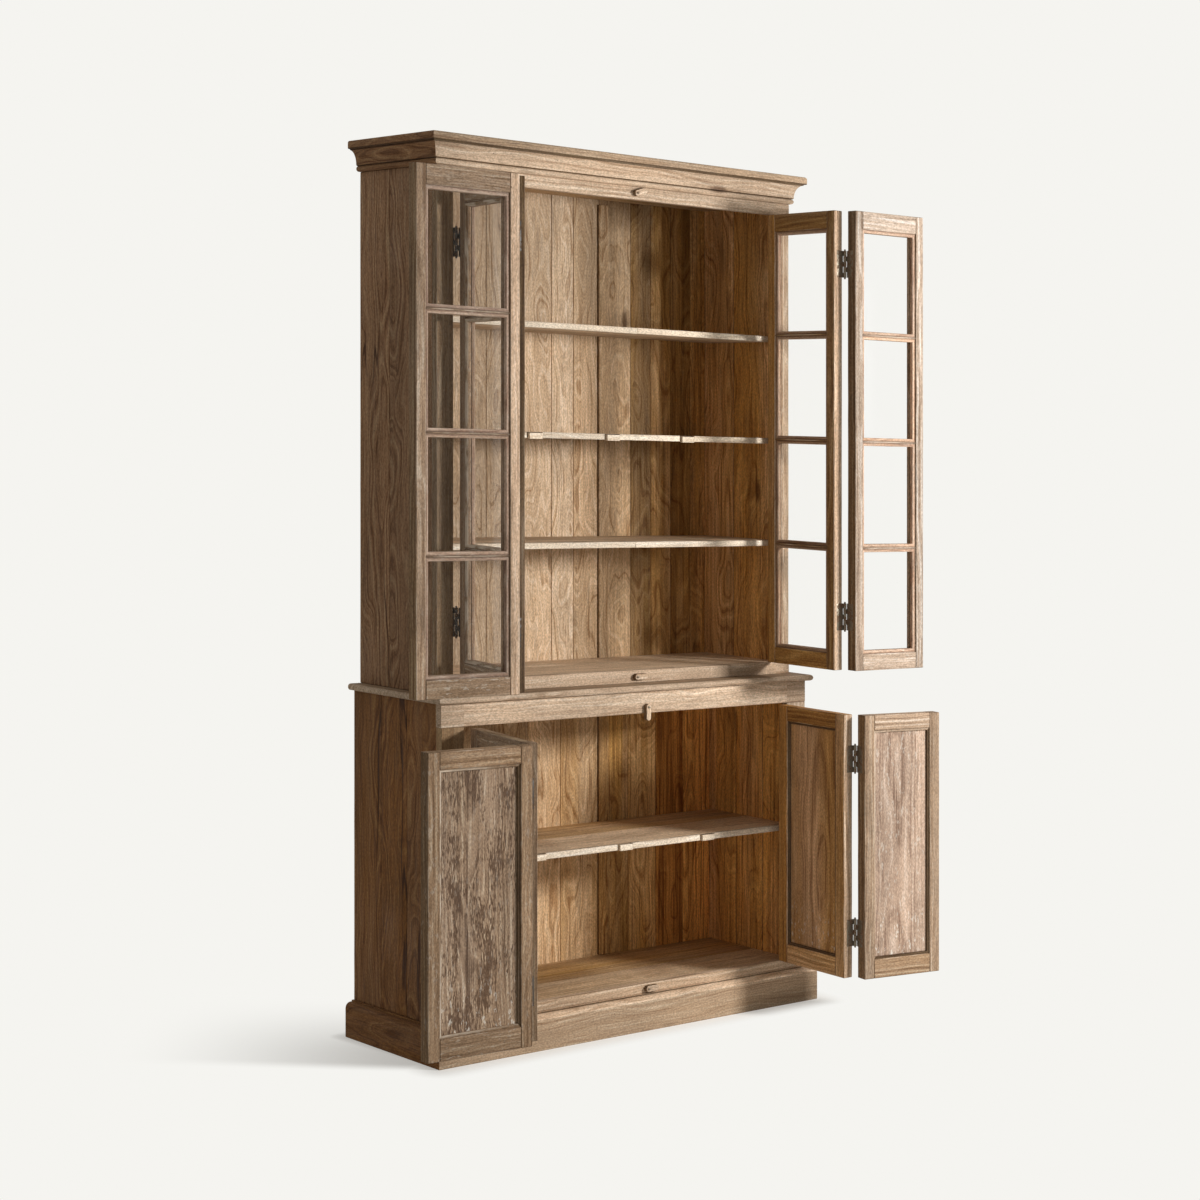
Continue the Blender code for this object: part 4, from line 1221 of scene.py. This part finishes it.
class CABINET_OT_shelves(Operator):
    """Build the shelves, floors and the roof board, with pale sawn front edges"""
    bl_idname = "cabinet.shelves"
    bl_label = "Shelves"

    lipping: length("Sawn edge", 0.010, "Depth of the pale strip along a shelf's front")
    notch: length("Notch", 0.011, "Width of the notches in the front edges")
    patch: length("Patch", 0.045, "Length of the patch beside a notch")
    sag: length("Sag", 0.0025, "How far a patch sits below the edge")
    dip: length("Dip", 0.0012, "How low a length of the edge may sit")
    recede: length("Recede", 0.0008, "How far back the front of a length may lie")
    hollow: length("Hollow", 0.012, "How far the roof board is hollowed on its underside")

    def execute(self, context):
        notches = {"upper_shelf_2": (-0.308, -0.031, 0.251), "lower_shelf": (-0.334, -0.024, 0.286)}
        for node in ("upper_shelf_1", "upper_shelf_2", "upper_shelf_3", "lower_shelf"):
            low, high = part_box(node)
            self.edge(node, low, high, notches.get(node, (chance.uniform(-0.2, 0.2),)))
            self.boards(node, low + Vector((0, self.lipping, 0)), high)
        for node in ("lower_bottom_board", "upper_bottom_board"):
            self.boards(node, *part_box(node))
        low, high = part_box("upper_top_board")
        self.boards("upper_top_board", low + Vector((0, 0, self.hollow)), high)
        return {"FINISHED"}

    def boards(self, node, low, high):
        """Two boards side by side, the grain along the shelf; the tones are the front and back board's."""
        gap = sizes().seam / 2
        cut = low.y + chance.uniform(0.35, 0.6) * (high.y - low.y)
        # Lightness above 1 is painted light on the tops; the greater brownness of the rear boards and the
        # roof board is painted shade
        tones = {
            "lower_shelf": ((1.42, 0.25), (1.25, 0.75)),
            "lower_bottom_board": ((1.25, 0.33), (1.15, 0.85)),
            "upper_top_board": ((1.1, 0.7), (1.1, 0.7)),
        }
        front, back = tones.get(node, ((1.2, 0.05), (1.1, 0.2)))
        front = tinted(*front)

        def notch_shade(face, point):
            """Painted shade on the front face, where the notches in the edge let it be seen."""
            return SHADED["notch"] if face.normal.y < -FACING else front
        boards = [
            board(low, (high.x, cut - gap, high.z), X, notch_shade, "joints"),
            board((low.x, cut + gap, low.z), high, X, tinted(*back), "joints"),
        ]
        settle(f"{node}_boards", joined(boards), "dry_shelf", "cabinet", "shelf_wood", node)

    def edge(self, node, low, high, notches):
        """The front strip, in lengths cut by notches; a patch beside each notch sits a little lower."""
        half = self.notch / 2 if len(notches) > 1 else sizes().seam
        patch = self.patch if len(notches) > 1 else 0.0
        strips = []
        for i, (start, end) in enumerate(zip((low.x, *notches), (*notches, high.x))):
            near = start + (half if i else 0.0)
            far = end - (half if i < len(notches) else 0.0)
            lengths = [(near, far, chance.uniform(0.0, self.dip))]
            if i and patch:
                lengths = [(near, near + patch, self.sag), (near + patch, far, 0.0)]
            for first, last, drop in lengths:
                front = low.y + chance.uniform(0.0, self.recede)
                ends = ((first, front, low.z - drop), (last, low.y + self.lipping, high.z - drop))
                strips.append(board(*ends, X, tinted(1.0, 0.0, 0.0, 0.06), "worn", True))
        settle(f"{node}_edge", joined(strips), "sawn_edge", "cabinet", "shelf_wood", node)


class CABINET_OT_waist_board(Operator):
    """Build the bullnosed board between the two cases"""
    bl_idname = "cabinet.waist_board"
    bl_label = "Waist board"

    def execute(self, context):
        low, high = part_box("waist_board")
        nose = (high.z - low.z) * 0.48
        piece = block(low, high)

        def rim(a, b):
            level = abs(a.z - b.z) < TOUCH
            at_back = min(a.y, b.y) > high.y - TOUCH
            return level and not at_back
        round_edges(piece, rim, nose, 6)
        shadowed = tinted(0.7, 0.4)
        nosing = tinted(1.03)
        dress(piece, X, lambda face, point: shadowed if face.normal.z > 0.95 else nosing)
        settle("waist_board_nosed", piece, "bleached_case", "cabinet", "carcass_wood", "waist_board")
        return {"FINISHED"}


class CABINET_OT_cornice(Operator):
    """Build the cornice: three mitred lengths with fascia, quirk, cove and foot beads"""
    bl_idname = "cabinet.cornice"
    bl_label = "Cornice"

    proud: length("Proud", 0.0375, "How far the cornice stands out from the case")
    seat: length("Seat", 0.024, "How far it reaches back over the case")
    bead: length("Foot bead", 0.0075, "Radius of the bead at the foot")
    cove: length("Cove", 0.0305, "How far the cove's top stands out")
    cove_deep: length("Cove depth", 0.0205, "How far the cove reaches back from its top")
    cove_foot: length("Cove foot", 0.0173, "Height of the cove's foot")
    fascia: length("Fascia", 0.0225, "Height of the fascia")
    quirk: length("Quirk", 0.0025, "Height of the groove under the fascia")
    under: length("Lower rounding", 0.003, "Rounding of the fascia's lower edge")
    over: length("Upper rounding", 0.007, "Rounding of the fascia's upper edge")

    def profile(self, height):
        """Foot bead, tall cove, quirk and a fascia with a rounded top, as (reach, height)."""
        fascia = height - self.fascia
        quirk = fascia - self.quirk
        lower = self.proud - self.under
        bead_out = 0.0025
        ledge = (0.008, 0.0153)
        points = [(-self.seat, 0.0)]
        points += arc((bead_out, self.bead), (self.bead, self.bead), -90, 75, 8)
        points += [ledge]
        points += arc((self.cove, self.cove_foot), (self.cove_deep, quirk - self.cove_foot), 180, 92, 10)
        points += [(self.cove, quirk), (self.cove, fascia), (lower, fascia)]
        points += arc((lower, fascia + self.under), (self.under, self.under), -60, 0, 2)
        points += arc((self.proud - self.over, height - self.over), (self.over, self.over), 0, 90, 5)
        points += [(-self.seat, height)]
        return points

    def banded(self, low, high, fascia, cove):
        """Painted shade as dark lines above the foot bead and round the quirk, else the fascia's or the
        cove's tone.
        """
        foot_line = (0.0145, 0.0176)
        quirk_line = (0.0195, 0.0255)

        def tone(face, point):
            level = face.center.z - low.z
            below = high.z - face.center.z
            if foot_line[0] < level < foot_line[1] or quirk_line[0] < below < quirk_line[1]:
                return SHADED["quirk"]
            return fascia if below < quirk_line[0] else cove
        return tone

    def execute(self, context):
        low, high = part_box("cornice")
        half = high.x - self.proud
        front = low.y + self.proud
        side = (1.05, 0.3, 0.0)
        tones = [self.banded(low, high, (0.9, 0.2, 0.0), (1.05, 0.0, 0.0))]
        tones += [self.banded(low, high, side, side)] * 2
        lengths = surround(self.profile(high.z - low.z), half, front, high.y, low.z, tones)
        settle("cornice_front", lengths[0], "bleached_case", "cabinet", "carcass_wood", "cornice")
        sides = joined(lengths[1:])
        settle("cornice_returns", sides, "brown_case", "cabinet", "carcass_wood", "cornice")
        return {"FINISHED"}


# Door leaves, modelled shut for the left hand: hinge axis on the origin, inside towards +Y


def leaf_place(pair, part):
    """The hand, width, height and place of a door leaf, from its joints and its CAD frame."""
    swing = JOINTS[f"{pair}_inner_swing"]
    fold = JOINTS[f"{pair}_outer_fold"]
    hand = 1 if pair.endswith("left") else -1
    shut = max if hand > 0 else min
    turn = -shut(swing["range_deg"])
    axis = swing["pos_m"]
    if part == "outer":
        turn -= shut(fold["range_deg"])
        axis = fold["pos_m"]
    reach = Vector(fold["pos_m"]) - Vector(swing["pos_m"])
    width = reach.length - 2 * sizes().hinge_gap
    low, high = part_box(f"{pair}_{part}_frame")
    matrix = Matrix.Translation((axis[0], axis[1], low.z)) @ Matrix.Rotation(math.radians(turn), 4, "Z")
    return hand, width, high.z - low.z, matrix


def corners(hand, x, y, z):
    """Lowest and highest corner of a box; x is measured from the hinge towards the free edge."""
    ends = sorted((hand * x[0], hand * x[1]))
    return Vector((ends[0], y[0], z[0])), Vector((ends[1], y[1], z[1]))


def frame_boards(hand, width, height, flat, rails, tones):
    """Two stiles and the rails between them, lowest rail first; the tones are named by place."""
    given = sizes()
    near = given.hinge_gap
    far = near + width
    y = (given.hinge_proud, given.hinge_proud + given.leaf_thick)

    def edged(place):
        chosen = tinted(*tones[place], 0.04)

        def tone(face, point):
            if abs(face.normal.x) > FACING:
                return tones["rim"]
            return WEATHERED if face.normal.y < -FACING else chosen
        return tone
    boards = [
        board(*corners(hand, (near, near + flat), y, (0.0, height)), Z, edged("hinge")),
        board(*corners(hand, (far - flat, far), y, (0.0, height)), Z, edged("free")),
    ]
    for i, z in enumerate(rails):
        tone = edged("top" if i else "bottom")
        boards.append(board(*corners(hand, (near + flat, far - flat), y, z), X, tone))
    return boards


def placed(hinge, free, top, bottom, rim, inset):
    """The tones of a leaf by place: its two stiles, top and bottom rail, edges, and beads or panel."""
    return {"hinge": hinge, "free": free, "top": top, "bottom": bottom, "rim": rim, "inset": inset}


class CABINET_OT_glazed_leaves(Operator):
    """Build the glazed door leaves: frame, glazing bars, lips, salmon beads and single panes"""
    bl_idname = "cabinet.glazed_leaves"
    bl_label = "Glazed leaves"

    def execute(self, context):
        # Lightness here partly paints light: the upper left inner leaf's low values are painted shade, the
        # upper right inner leaf's high values painted light in its shade
        tones = {
            "upper_left_inner": placed(
                (0.55, 0.6, 0.05), (0.68, 0.5, 0.05), (0.6, 0.6, 0.05), (0.6, 0.6, 0.05),
                (0.45, 0.7, 0.0), (0.85, 0.4, 0.1),
            ),
            "upper_left_outer": placed(
                (1.6, 0.05, 0.1), (1.03, 0.15, 0.1), (0.86, 0.2, 0.15), (0.92, 0.36, 0.3),
                (0.82, 0.65, 0.0), (1.0, 0.1, 0.15),
            ),
            "upper_right_inner": placed(
                (1.75, 0.9, 0.0), (1.05, 0.78, 0.0), (1.35, 0.78, 0.0), (1.45, 1.0, 0.0),
                (1.55, 0.1, 0.1), (1.1, 0.4, 0.0),
            ),
            "upper_right_outer": placed(
                (1.08, -0.5, 0.2), (1.08, -0.5, 0.2), (1.32, -0.75, 0.2), (1.1, -0.45, 0.2),
                (0.72, 0.6, 0.0), (1.45, 0.25, 0.1),
            ),
        }
        for name, tone in tones.items():
            self.leaf(*name.rsplit("_", 1), tone)
        return {"FINISHED"}

    def leaf(self, pair, part, tones):
        """One leaf: its lights, from the lowest up, have each a lip, a pane and a bead."""
        given = sizes()
        name = f"{pair}_{part}"
        hand, width, height, place = leaf_place(pair, part)
        flat = given.leaf_stile - given.bead
        bars = given.lights - 1
        light = (height - given.glazed_top - given.glazed_bottom - bars * given.bar) / given.lights
        pitch = light + given.bar
        rails = [(0.0, given.glazed_bottom - given.bead), (height - given.glazed_top + given.bead, height)]
        for i in range(1, given.lights):
            level = given.glazed_bottom + i * pitch - given.bar + given.bead
            rails.append((level, level + given.bar - 2 * given.bead))
        boards = frame_boards(hand, width, height, flat, rails, tones)
        x = (given.hinge_gap + flat, given.hinge_gap + width - flat)
        z = (given.glazed_bottom - given.bead, given.glazed_bottom + light + given.bead)
        lip_end = given.hinge_proud + given.lip
        bead_end = given.hinge_proud + given.leaf_thick - given.bead_step
        lip = self.strip(hand, x, (given.hinge_proud, lip_end), z, 0, given.ovolo, tinted(*WEATHERED))
        bead = self.strip(
            hand, x, (lip_end + given.pane, bead_end), z, 1, given.bead * 0.45, tinted(*tones["inset"])
        )
        pane = self.pane(hand, x, lip_end, z)
        lips = [lip]
        beads = [bead]
        panes = [pane]
        for i in range(1, given.lights):
            up = Matrix.Translation((0.0, 0.0, i * pitch))
            lips.append(regrained(copied(lip, up), tinted(*WEATHERED)))
            beads.append(regrained(copied(bead, up), tinted(*tones["inset"])))
            panes.append(copied(pane, up))
        woodwork = moved(joined(boards + lips), place)
        finish = "weathered_leaf" if hand > 0 else "bleached_leaf"
        settle(f"{name}_woodwork", woodwork, finish, name, "door_wood", f"{name}_frame")
        beading = moved(joined(beads), place)
        settle(f"{name}_beads", beading, "salmon_bead", name, "door_wood", f"{name}_frame")
        glazing = moved(joined(panes), place)
        settle(f"{name}_panes", glazing, "old_glass", name, "door_glass", f"{name}_glass")

    def strip(self, hand, x, y, z, rounded_end, radius, tone):
        """A mitred ring round one light, rounded at one of its faces, with dark joints at the frame."""
        width = sizes().bead
        low, high = corners(hand, x, y, z)
        piece = ring(low, high, width)
        round_inside(piece, low, high, width, y[rounded_end], radius, 4)
        dress(piece, ring_grain(low, high), tone, "worn")
        points = points_of(piece.data)
        rim = (np.abs(points - np.array(low)) < TOUCH) | (np.abs(points - np.array(high)) < TOUCH)
        joint = piece.data.attributes["edge"].data
        for i in np.flatnonzero(rim[:, X] | rim[:, Z]):
            joint[i].value = MARKS["joints"]
        return piece

    def pane(self, hand, x, front, z):
        """A sheet of glass whose edges are held between the lip and the bead."""
        given = sizes()
        inset = given.bead * 0.4
        low, high = corners(
            hand, (x[0] + inset, x[1] - inset), (front, front + given.pane), (z[0] + inset, z[1] - inset)
        )
        piece = block(low, high)
        round_edges(piece, anything, 0.0004, 1)
        return piece


class CABINET_OT_panelled_leaves(Operator):
    """Build the panelled door leaves: frame, moulded lip and fielded panel"""
    bl_idname = "cabinet.panelled_leaves"
    bl_label = "Panelled leaves"

    def execute(self, context):
        # The lower right inner leaf's high lightness and brownness are painted warm light in its shade
        tones = {
            "lower_left_inner": placed(
                (0.85, 0.5, 0.1), (0.85, 0.5, 0.1), (0.85, 0.5, 0.1), (0.85, 0.5, 0.1),
                (0.8, 0.5, 0.0), (0.75, 0.4, 0.1),
            ),
            "lower_left_outer": placed(
                (0.95, 0.4, 0.15), (0.88, 0.4, 0.2), (1.2, 0.5, 0.1), (1.0, 0.4, 0.2),
                (0.6, 0.6, 0.1), (0.84, 0.3, 0.1),
            ),
            "lower_right_inner": placed(
                (1.95, 1.1, 0.0), (1.75, 0.75, 0.0), (1.35, 1.3, 0.0), (2.05, 0.72, 0.0),
                (1.3, 0.2, 0.1), (1.58, 0.8, 0.0),
            ),
            "lower_right_outer": placed(
                (1.0, 0.2, 0.05), (1.0, 0.2, 0.05), (1.26, -0.02, 0.1), (1.05, 0.4, 0.05),
                (0.95, 0.6, 0.0), (1.0, 0.0, 0.35),
            ),
        }
        for name, tone in tones.items():
            self.leaf(*name.rsplit("_", 1), tone)
        return {"FINISHED"}

    def leaf(self, pair, part, tones):
        """One leaf: its frame, the moulded lip round the recess and the panel behind it."""
        given = sizes()
        name = f"{pair}_{part}"
        hand, width, height, place = leaf_place(pair, part)
        flat = given.panel_stile - given.ovolo
        rails = [(0.0, given.panel_bottom - given.ovolo), (height - given.panel_top + given.ovolo, height)]
        boards = frame_boards(hand, width, height, flat, rails, tones)
        inside = given.hinge_proud + given.leaf_thick - given.bead_step
        x = (given.hinge_gap + flat, given.hinge_gap + width - flat)
        z = (rails[0][1], rails[1][0])
        low, high = corners(hand, x, (given.hinge_proud, inside), z)
        lip = ring(low, high, given.ovolo)
        round_inside(lip, low, high, given.ovolo, given.hinge_proud, given.ovolo * 0.95, 4)
        round_inside(lip, low, high, given.ovolo, inside, given.ovolo * 0.5, 3)
        lit = tinted(*tones["free"])
        near = 2 * given.ovolo

        def shaded(spot):
            """Dark on the -X side; in right-hand leaves at the foot too, and all round the inner one."""
            if hand < 0 and (part == "inner" or spot.z < low.z + near):
                return True
            return spot.x < low.x + near

        def recess(face, point):
            return SHADED["recess"] if shaded(face.center) else lit
        dress(lip, ring_grain(low, high), recess, "worn")
        marks = lip.data.attributes["edge"].data
        for i, vert in enumerate(lip.data.vertices):
            marks[i].value *= 0.0 if shaded(vert.co) else 1.0
        woodwork = moved(joined([*boards, lip]), place)
        finish = "weathered_leaf" if hand > 0 else "bleached_leaf"
        settle(f"{name}_woodwork", woodwork, finish, name, "door_wood", f"{name}_frame")
        panel = moved(self.panel(hand, x, z, tones["inset"]), place)
        finish = "streaked_panel" if hand > 0 else "smooth_panel"
        settle(f"{name}_board", panel, finish, name, "panel_wood", f"{name}_panel")

    def panel(self, hand, x, z, tone):
        """A board whose outside is raised to a field with a sloping border."""
        given = sizes()
        back = given.hinge_proud + given.leaf_thick / 2 + given.panel_thick / 2
        edge = given.ovolo * 0.7
        tongue = back - given.panel_tongue
        low, high = corners(
            hand, (x[0] + edge, x[1] - edge), (tongue, back), (z[0] + edge, z[1] - edge)
        )
        piece = block(low, high)
        with editing(piece, "FACE", lambda centre, normal: normal.y < -FACING):
            bpy.ops.mesh.inset(thickness=given.panel_field)
            bpy.ops.transform.translate(value=(0.0, given.panel_tongue - given.panel_thick, 0.0))

        def upright_behind(a, b):
            return min(a.y, b.y) > back - TOUCH and abs(a.z - b.z) > TOUCH
        with editing(piece, "EDGE", upright_behind):
            bpy.ops.mesh.subdivide(number_cuts=16)
        lightness, brown, flakes = tinted(*tone)

        def flaked(face, point):
            """More old paint is left near the foot; the outside is weathered."""
            if face.normal.y < -0.5:
                return WEATHERED
            foot = max(0.0, 1.0 - (point.z - low.z) / given.flaked)
            return (lightness, brown, flakes + 0.7 * foot)
        return dress(piece, Z, flaked)


# Iron and buttons


class CABINET_OT_hinges(Operator):
    """Build the butt hinges: fixed halves on the stiles and inner leaves, moving halves on the leaves"""
    bl_idname = "cabinet.hinges"
    bl_label = "Hinges"

    knuckles: IntProperty(name="Knuckles", default=5, description="Number of knuckles on a hinge")
    upper_inset: length("Upper inset", 0.150, "From a glazed leaf's end to the middle of its hinge")
    lower_inset: length("Lower inset", 0.125, "From a panelled leaf's end to the middle of its hinge")

    def execute(self, context):
        fixed = self.half(-1, range(0, self.knuckles, 2))
        moving = self.half(1, range(1, self.knuckles, 2))
        moving = joined([moving, self.pin()])
        for pair in PAIRS:
            # The right-hand hinges take the paler iron, painted light
            finish = "black_iron" if pair.endswith("left") else "rusty_iron"
            inset = self.upper_inset if pair.startswith("upper") else self.lower_inset
            for part, carrier in (("inner", "cabinet"), ("outer", f"{pair}_inner")):
                hand, _, height, place = leaf_place(pair, part)
                base_turn = Matrix.Identity(4)
                if part == "outer":
                    base_turn = leaf_place(pair, "inner")[-1].to_3x3().to_4x4()
                mirror = Matrix.Scale(hand, 4, (1, 0, 0))
                for level, z in (("lower", inset), ("upper", height - inset)):
                    name = f"{pair}_{part}_hinge_{level}"
                    spot = Matrix.Translation(place.translation + Vector((0, 0, z)))
                    still = copied(fixed, spot @ base_turn @ mirror)
                    settle(f"{name}_fixed", still, finish, carrier, "hinge_iron")
                    swung = copied(moving, spot @ place.to_3x3().to_4x4() @ mirror)
                    settle(f"{name}_moving", swung, finish, f"{pair}_{part}", "hinge_iron", name)
        for made in (fixed, moving):
            bpy.data.objects.remove(made)
        return {"FINISHED"}

    def half(self, side, own):
        """A plate with its own knuckles and three screws; side is -1 for the fixed half."""
        given = sizes()
        long = given.hinge_long
        clear = 0.0003
        proud = 0.0002
        start = given.barrel + 0.0007
        lap = given.barrel + 0.002
        face = side * (given.hinge_gap - proud)
        deep = side * (given.hinge_gap + given.plate)
        x = sorted((face, deep))
        plate = block((x[0], start, -long / 2), (x[1], given.plate_wide, long / 2))
        round_edges(plate, anything, 0.0005)
        parts = [plate]
        step = long / self.knuckles
        for i in own:
            low = -long / 2 + i * step + clear
            high = low + step - 2 * clear
            parts.append(peg(given.barrel, (0, 0, low), (0, 0, high), Z))
            tab = block((x[0], 0.0, low), (x[1], lap, high))
            round_edges(tab, anything, 0.0003, 1)
            parts.append(tab)
        for z, y in ((-0.36, 0.45), (0.0, 0.72), (0.36, 0.45)):
            spot = Vector((face, given.plate_wide * y, long * z))
            parts.append(self.screw(spot, side))
        return joined(parts)

    def screw(self, spot, side):
        """A slotted round head, slightly domed."""
        slot = 0.001
        slot_deep = 0.0007
        high = 0.0009
        root = 0.001
        tip = spot + Vector((-side * high, 0, 0))
        ends = sorted((spot + Vector((side * root, 0, 0)), tip), key=lambda end: end.x)
        head = peg(sizes().screw, *ends, X, 16, 0.0005)

        def top(centre, normal):
            return normal.x * -side > 0.95
        for way in (1, -1):
            with editing(head, "FACE", top):
                bpy.ops.mesh.bisect(plane_co=spot + Vector((0, 0, way * slot / 2)), plane_no=(0, 0, 1))

        def slotted(centre, normal):
            return top(centre, normal) and abs(centre.z - spot.z) < 0.4 * slot
        with editing(head, "FACE", slotted):
            bpy.ops.mesh.extrude_region_move(TRANSFORM_OT_translate={"value": (side * slot_deep, 0, 0)})
        return head

    def pin(self):
        """The pin, with a small ball, drawn out a little, at both ends."""
        given = sizes()
        half = given.hinge_long / 2
        shaft = peg(given.pin, (0, 0, -half), (0, 0, half), Z, 12)
        parts = [shaft]
        for end in (-1, 1):
            deselect()
            bpy.ops.mesh.primitive_uv_sphere_add(
                segments=12, ring_count=8, radius=given.pin * 1.3, location=(0, 0, end * (half + 0.0012))
            )
            ball = bpy.context.object
            bpy.ops.object.transform_apply(location=True, rotation=True, scale=True)
            with editing(ball, "FACE", lambda centre, normal: end * normal.z > 0.8):
                bpy.ops.transform.translate(value=(0, 0, end * 0.0006))
            parts.append(ball)
        return joined(parts)


class CABINET_OT_buttons(Operator):
    """Build the wooden turn buttons on their pivot screws"""
    bl_idname = "cabinet.buttons"
    bl_label = "Turn buttons"

    def execute(self, context):
        for case in ("upper", "lower"):
            for level in ("top", "bottom"):
                self.button(f"button_{case}_{level}")
        return {"FINISHED"}

    def button(self, node):
        """A round-ended button turned as it stands at rest, and the screw that it turns on."""
        given = sizes()
        low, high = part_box(node)
        axis = Vector(JOINTS[f"{node}_turn"]["pos_m"])
        lean = (low + high) / 2 - axis
        turn = math.atan2(lean.z, lean.x)
        half = given.button_wide / 2
        piece = block(
            (-half, -given.button_thick, -half), (given.button_long - half, 0.0, half)
        )
        round_edges(piece, lambda a, b: abs(a.y - b.y) > given.button_thick / 2, half * 0.98, 6)
        outer = -given.button_thick
        round_edges(piece, lambda a, b: max(a.y, b.y) < outer + TOUCH, given.button_round, 3)
        # The button's sides get painted shade; its face a paler tone
        pale_face = tinted(1.25, -0.1)
        dress(piece, X, lambda face, point: SHADED["button"] if abs(face.normal.y) < 0.4 else pale_face)
        place = Matrix.Translation(axis) @ Matrix.Rotation(-turn, 4, "Y")
        settle(f"{node}_turned", moved(piece, place), "bleached_case", node, "button_wood", node)

        def on_axis(level):
            return axis + Vector((0, level, 0))
        head = peg(given.screw, on_axis(outer - 0.0026), on_axis(outer - 0.0006), Y, 16, 0.0008)
        shank = peg(given.pin, on_axis(outer - 0.001), on_axis(0.002), Y, 10)
        settle(f"{node}_screw", joined([head, shank]), "rusty_iron", "cabinet", "hinge_iron")


STEPS = (
    CABINET_OT_stage, CABINET_OT_plinth, CABINET_OT_sides, CABINET_OT_face_frames, CABINET_OT_backs,
    CABINET_OT_shelves, CABINET_OT_waist_board, CABINET_OT_cornice, CABINET_OT_glazed_leaves,
    CABINET_OT_panelled_leaves, CABINET_OT_hinges, CABINET_OT_buttons,
)


class CABINET_PT_sidebar(Panel):
    """The cabinet's steps and settings"""
    bl_idname = "CABINET_PT_sidebar"
    bl_label = "Display cabinet"
    bl_space_type = "VIEW_3D"
    bl_region_type = "UI"
    bl_category = "Cabinet"

    def draw(self, context):
        for step in STEPS:
            self.layout.operator(step.bl_idname)
        for group in (sizes(), colours(), stage()):
            column = self.layout.column()
            for key in group.__annotations__:
                column.prop(group, key)


GROUPS = {
    "cabinet_sizes": CabinetSizes, "cabinet_colours": CabinetColours, "cabinet_stage": CabinetStage,
}


def register():
    for made in (*GROUPS.values(), *STEPS, CABINET_PT_sidebar):
        bpy.utils.register_class(made)
    for name, group in GROUPS.items():
        setattr(bpy.types.Scene, name, PointerProperty(type=group))


def unregister():
    for name in GROUPS:
        delattr(bpy.types.Scene, name)
    for made in (CABINET_PT_sidebar, *reversed(STEPS), *GROUPS.values()):
        bpy.utils.unregister_class(made)


def main():
    register()
    for step in STEPS:
        getattr(bpy.ops.cabinet, step.bl_idname.split(".")[1])()
    boxes = {"cad": CAD_BOX, "visual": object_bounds()}
    {name: [list(corner) for corner in box] for name, box in boxes.items()}


if __name__ == "__main__":
    main()
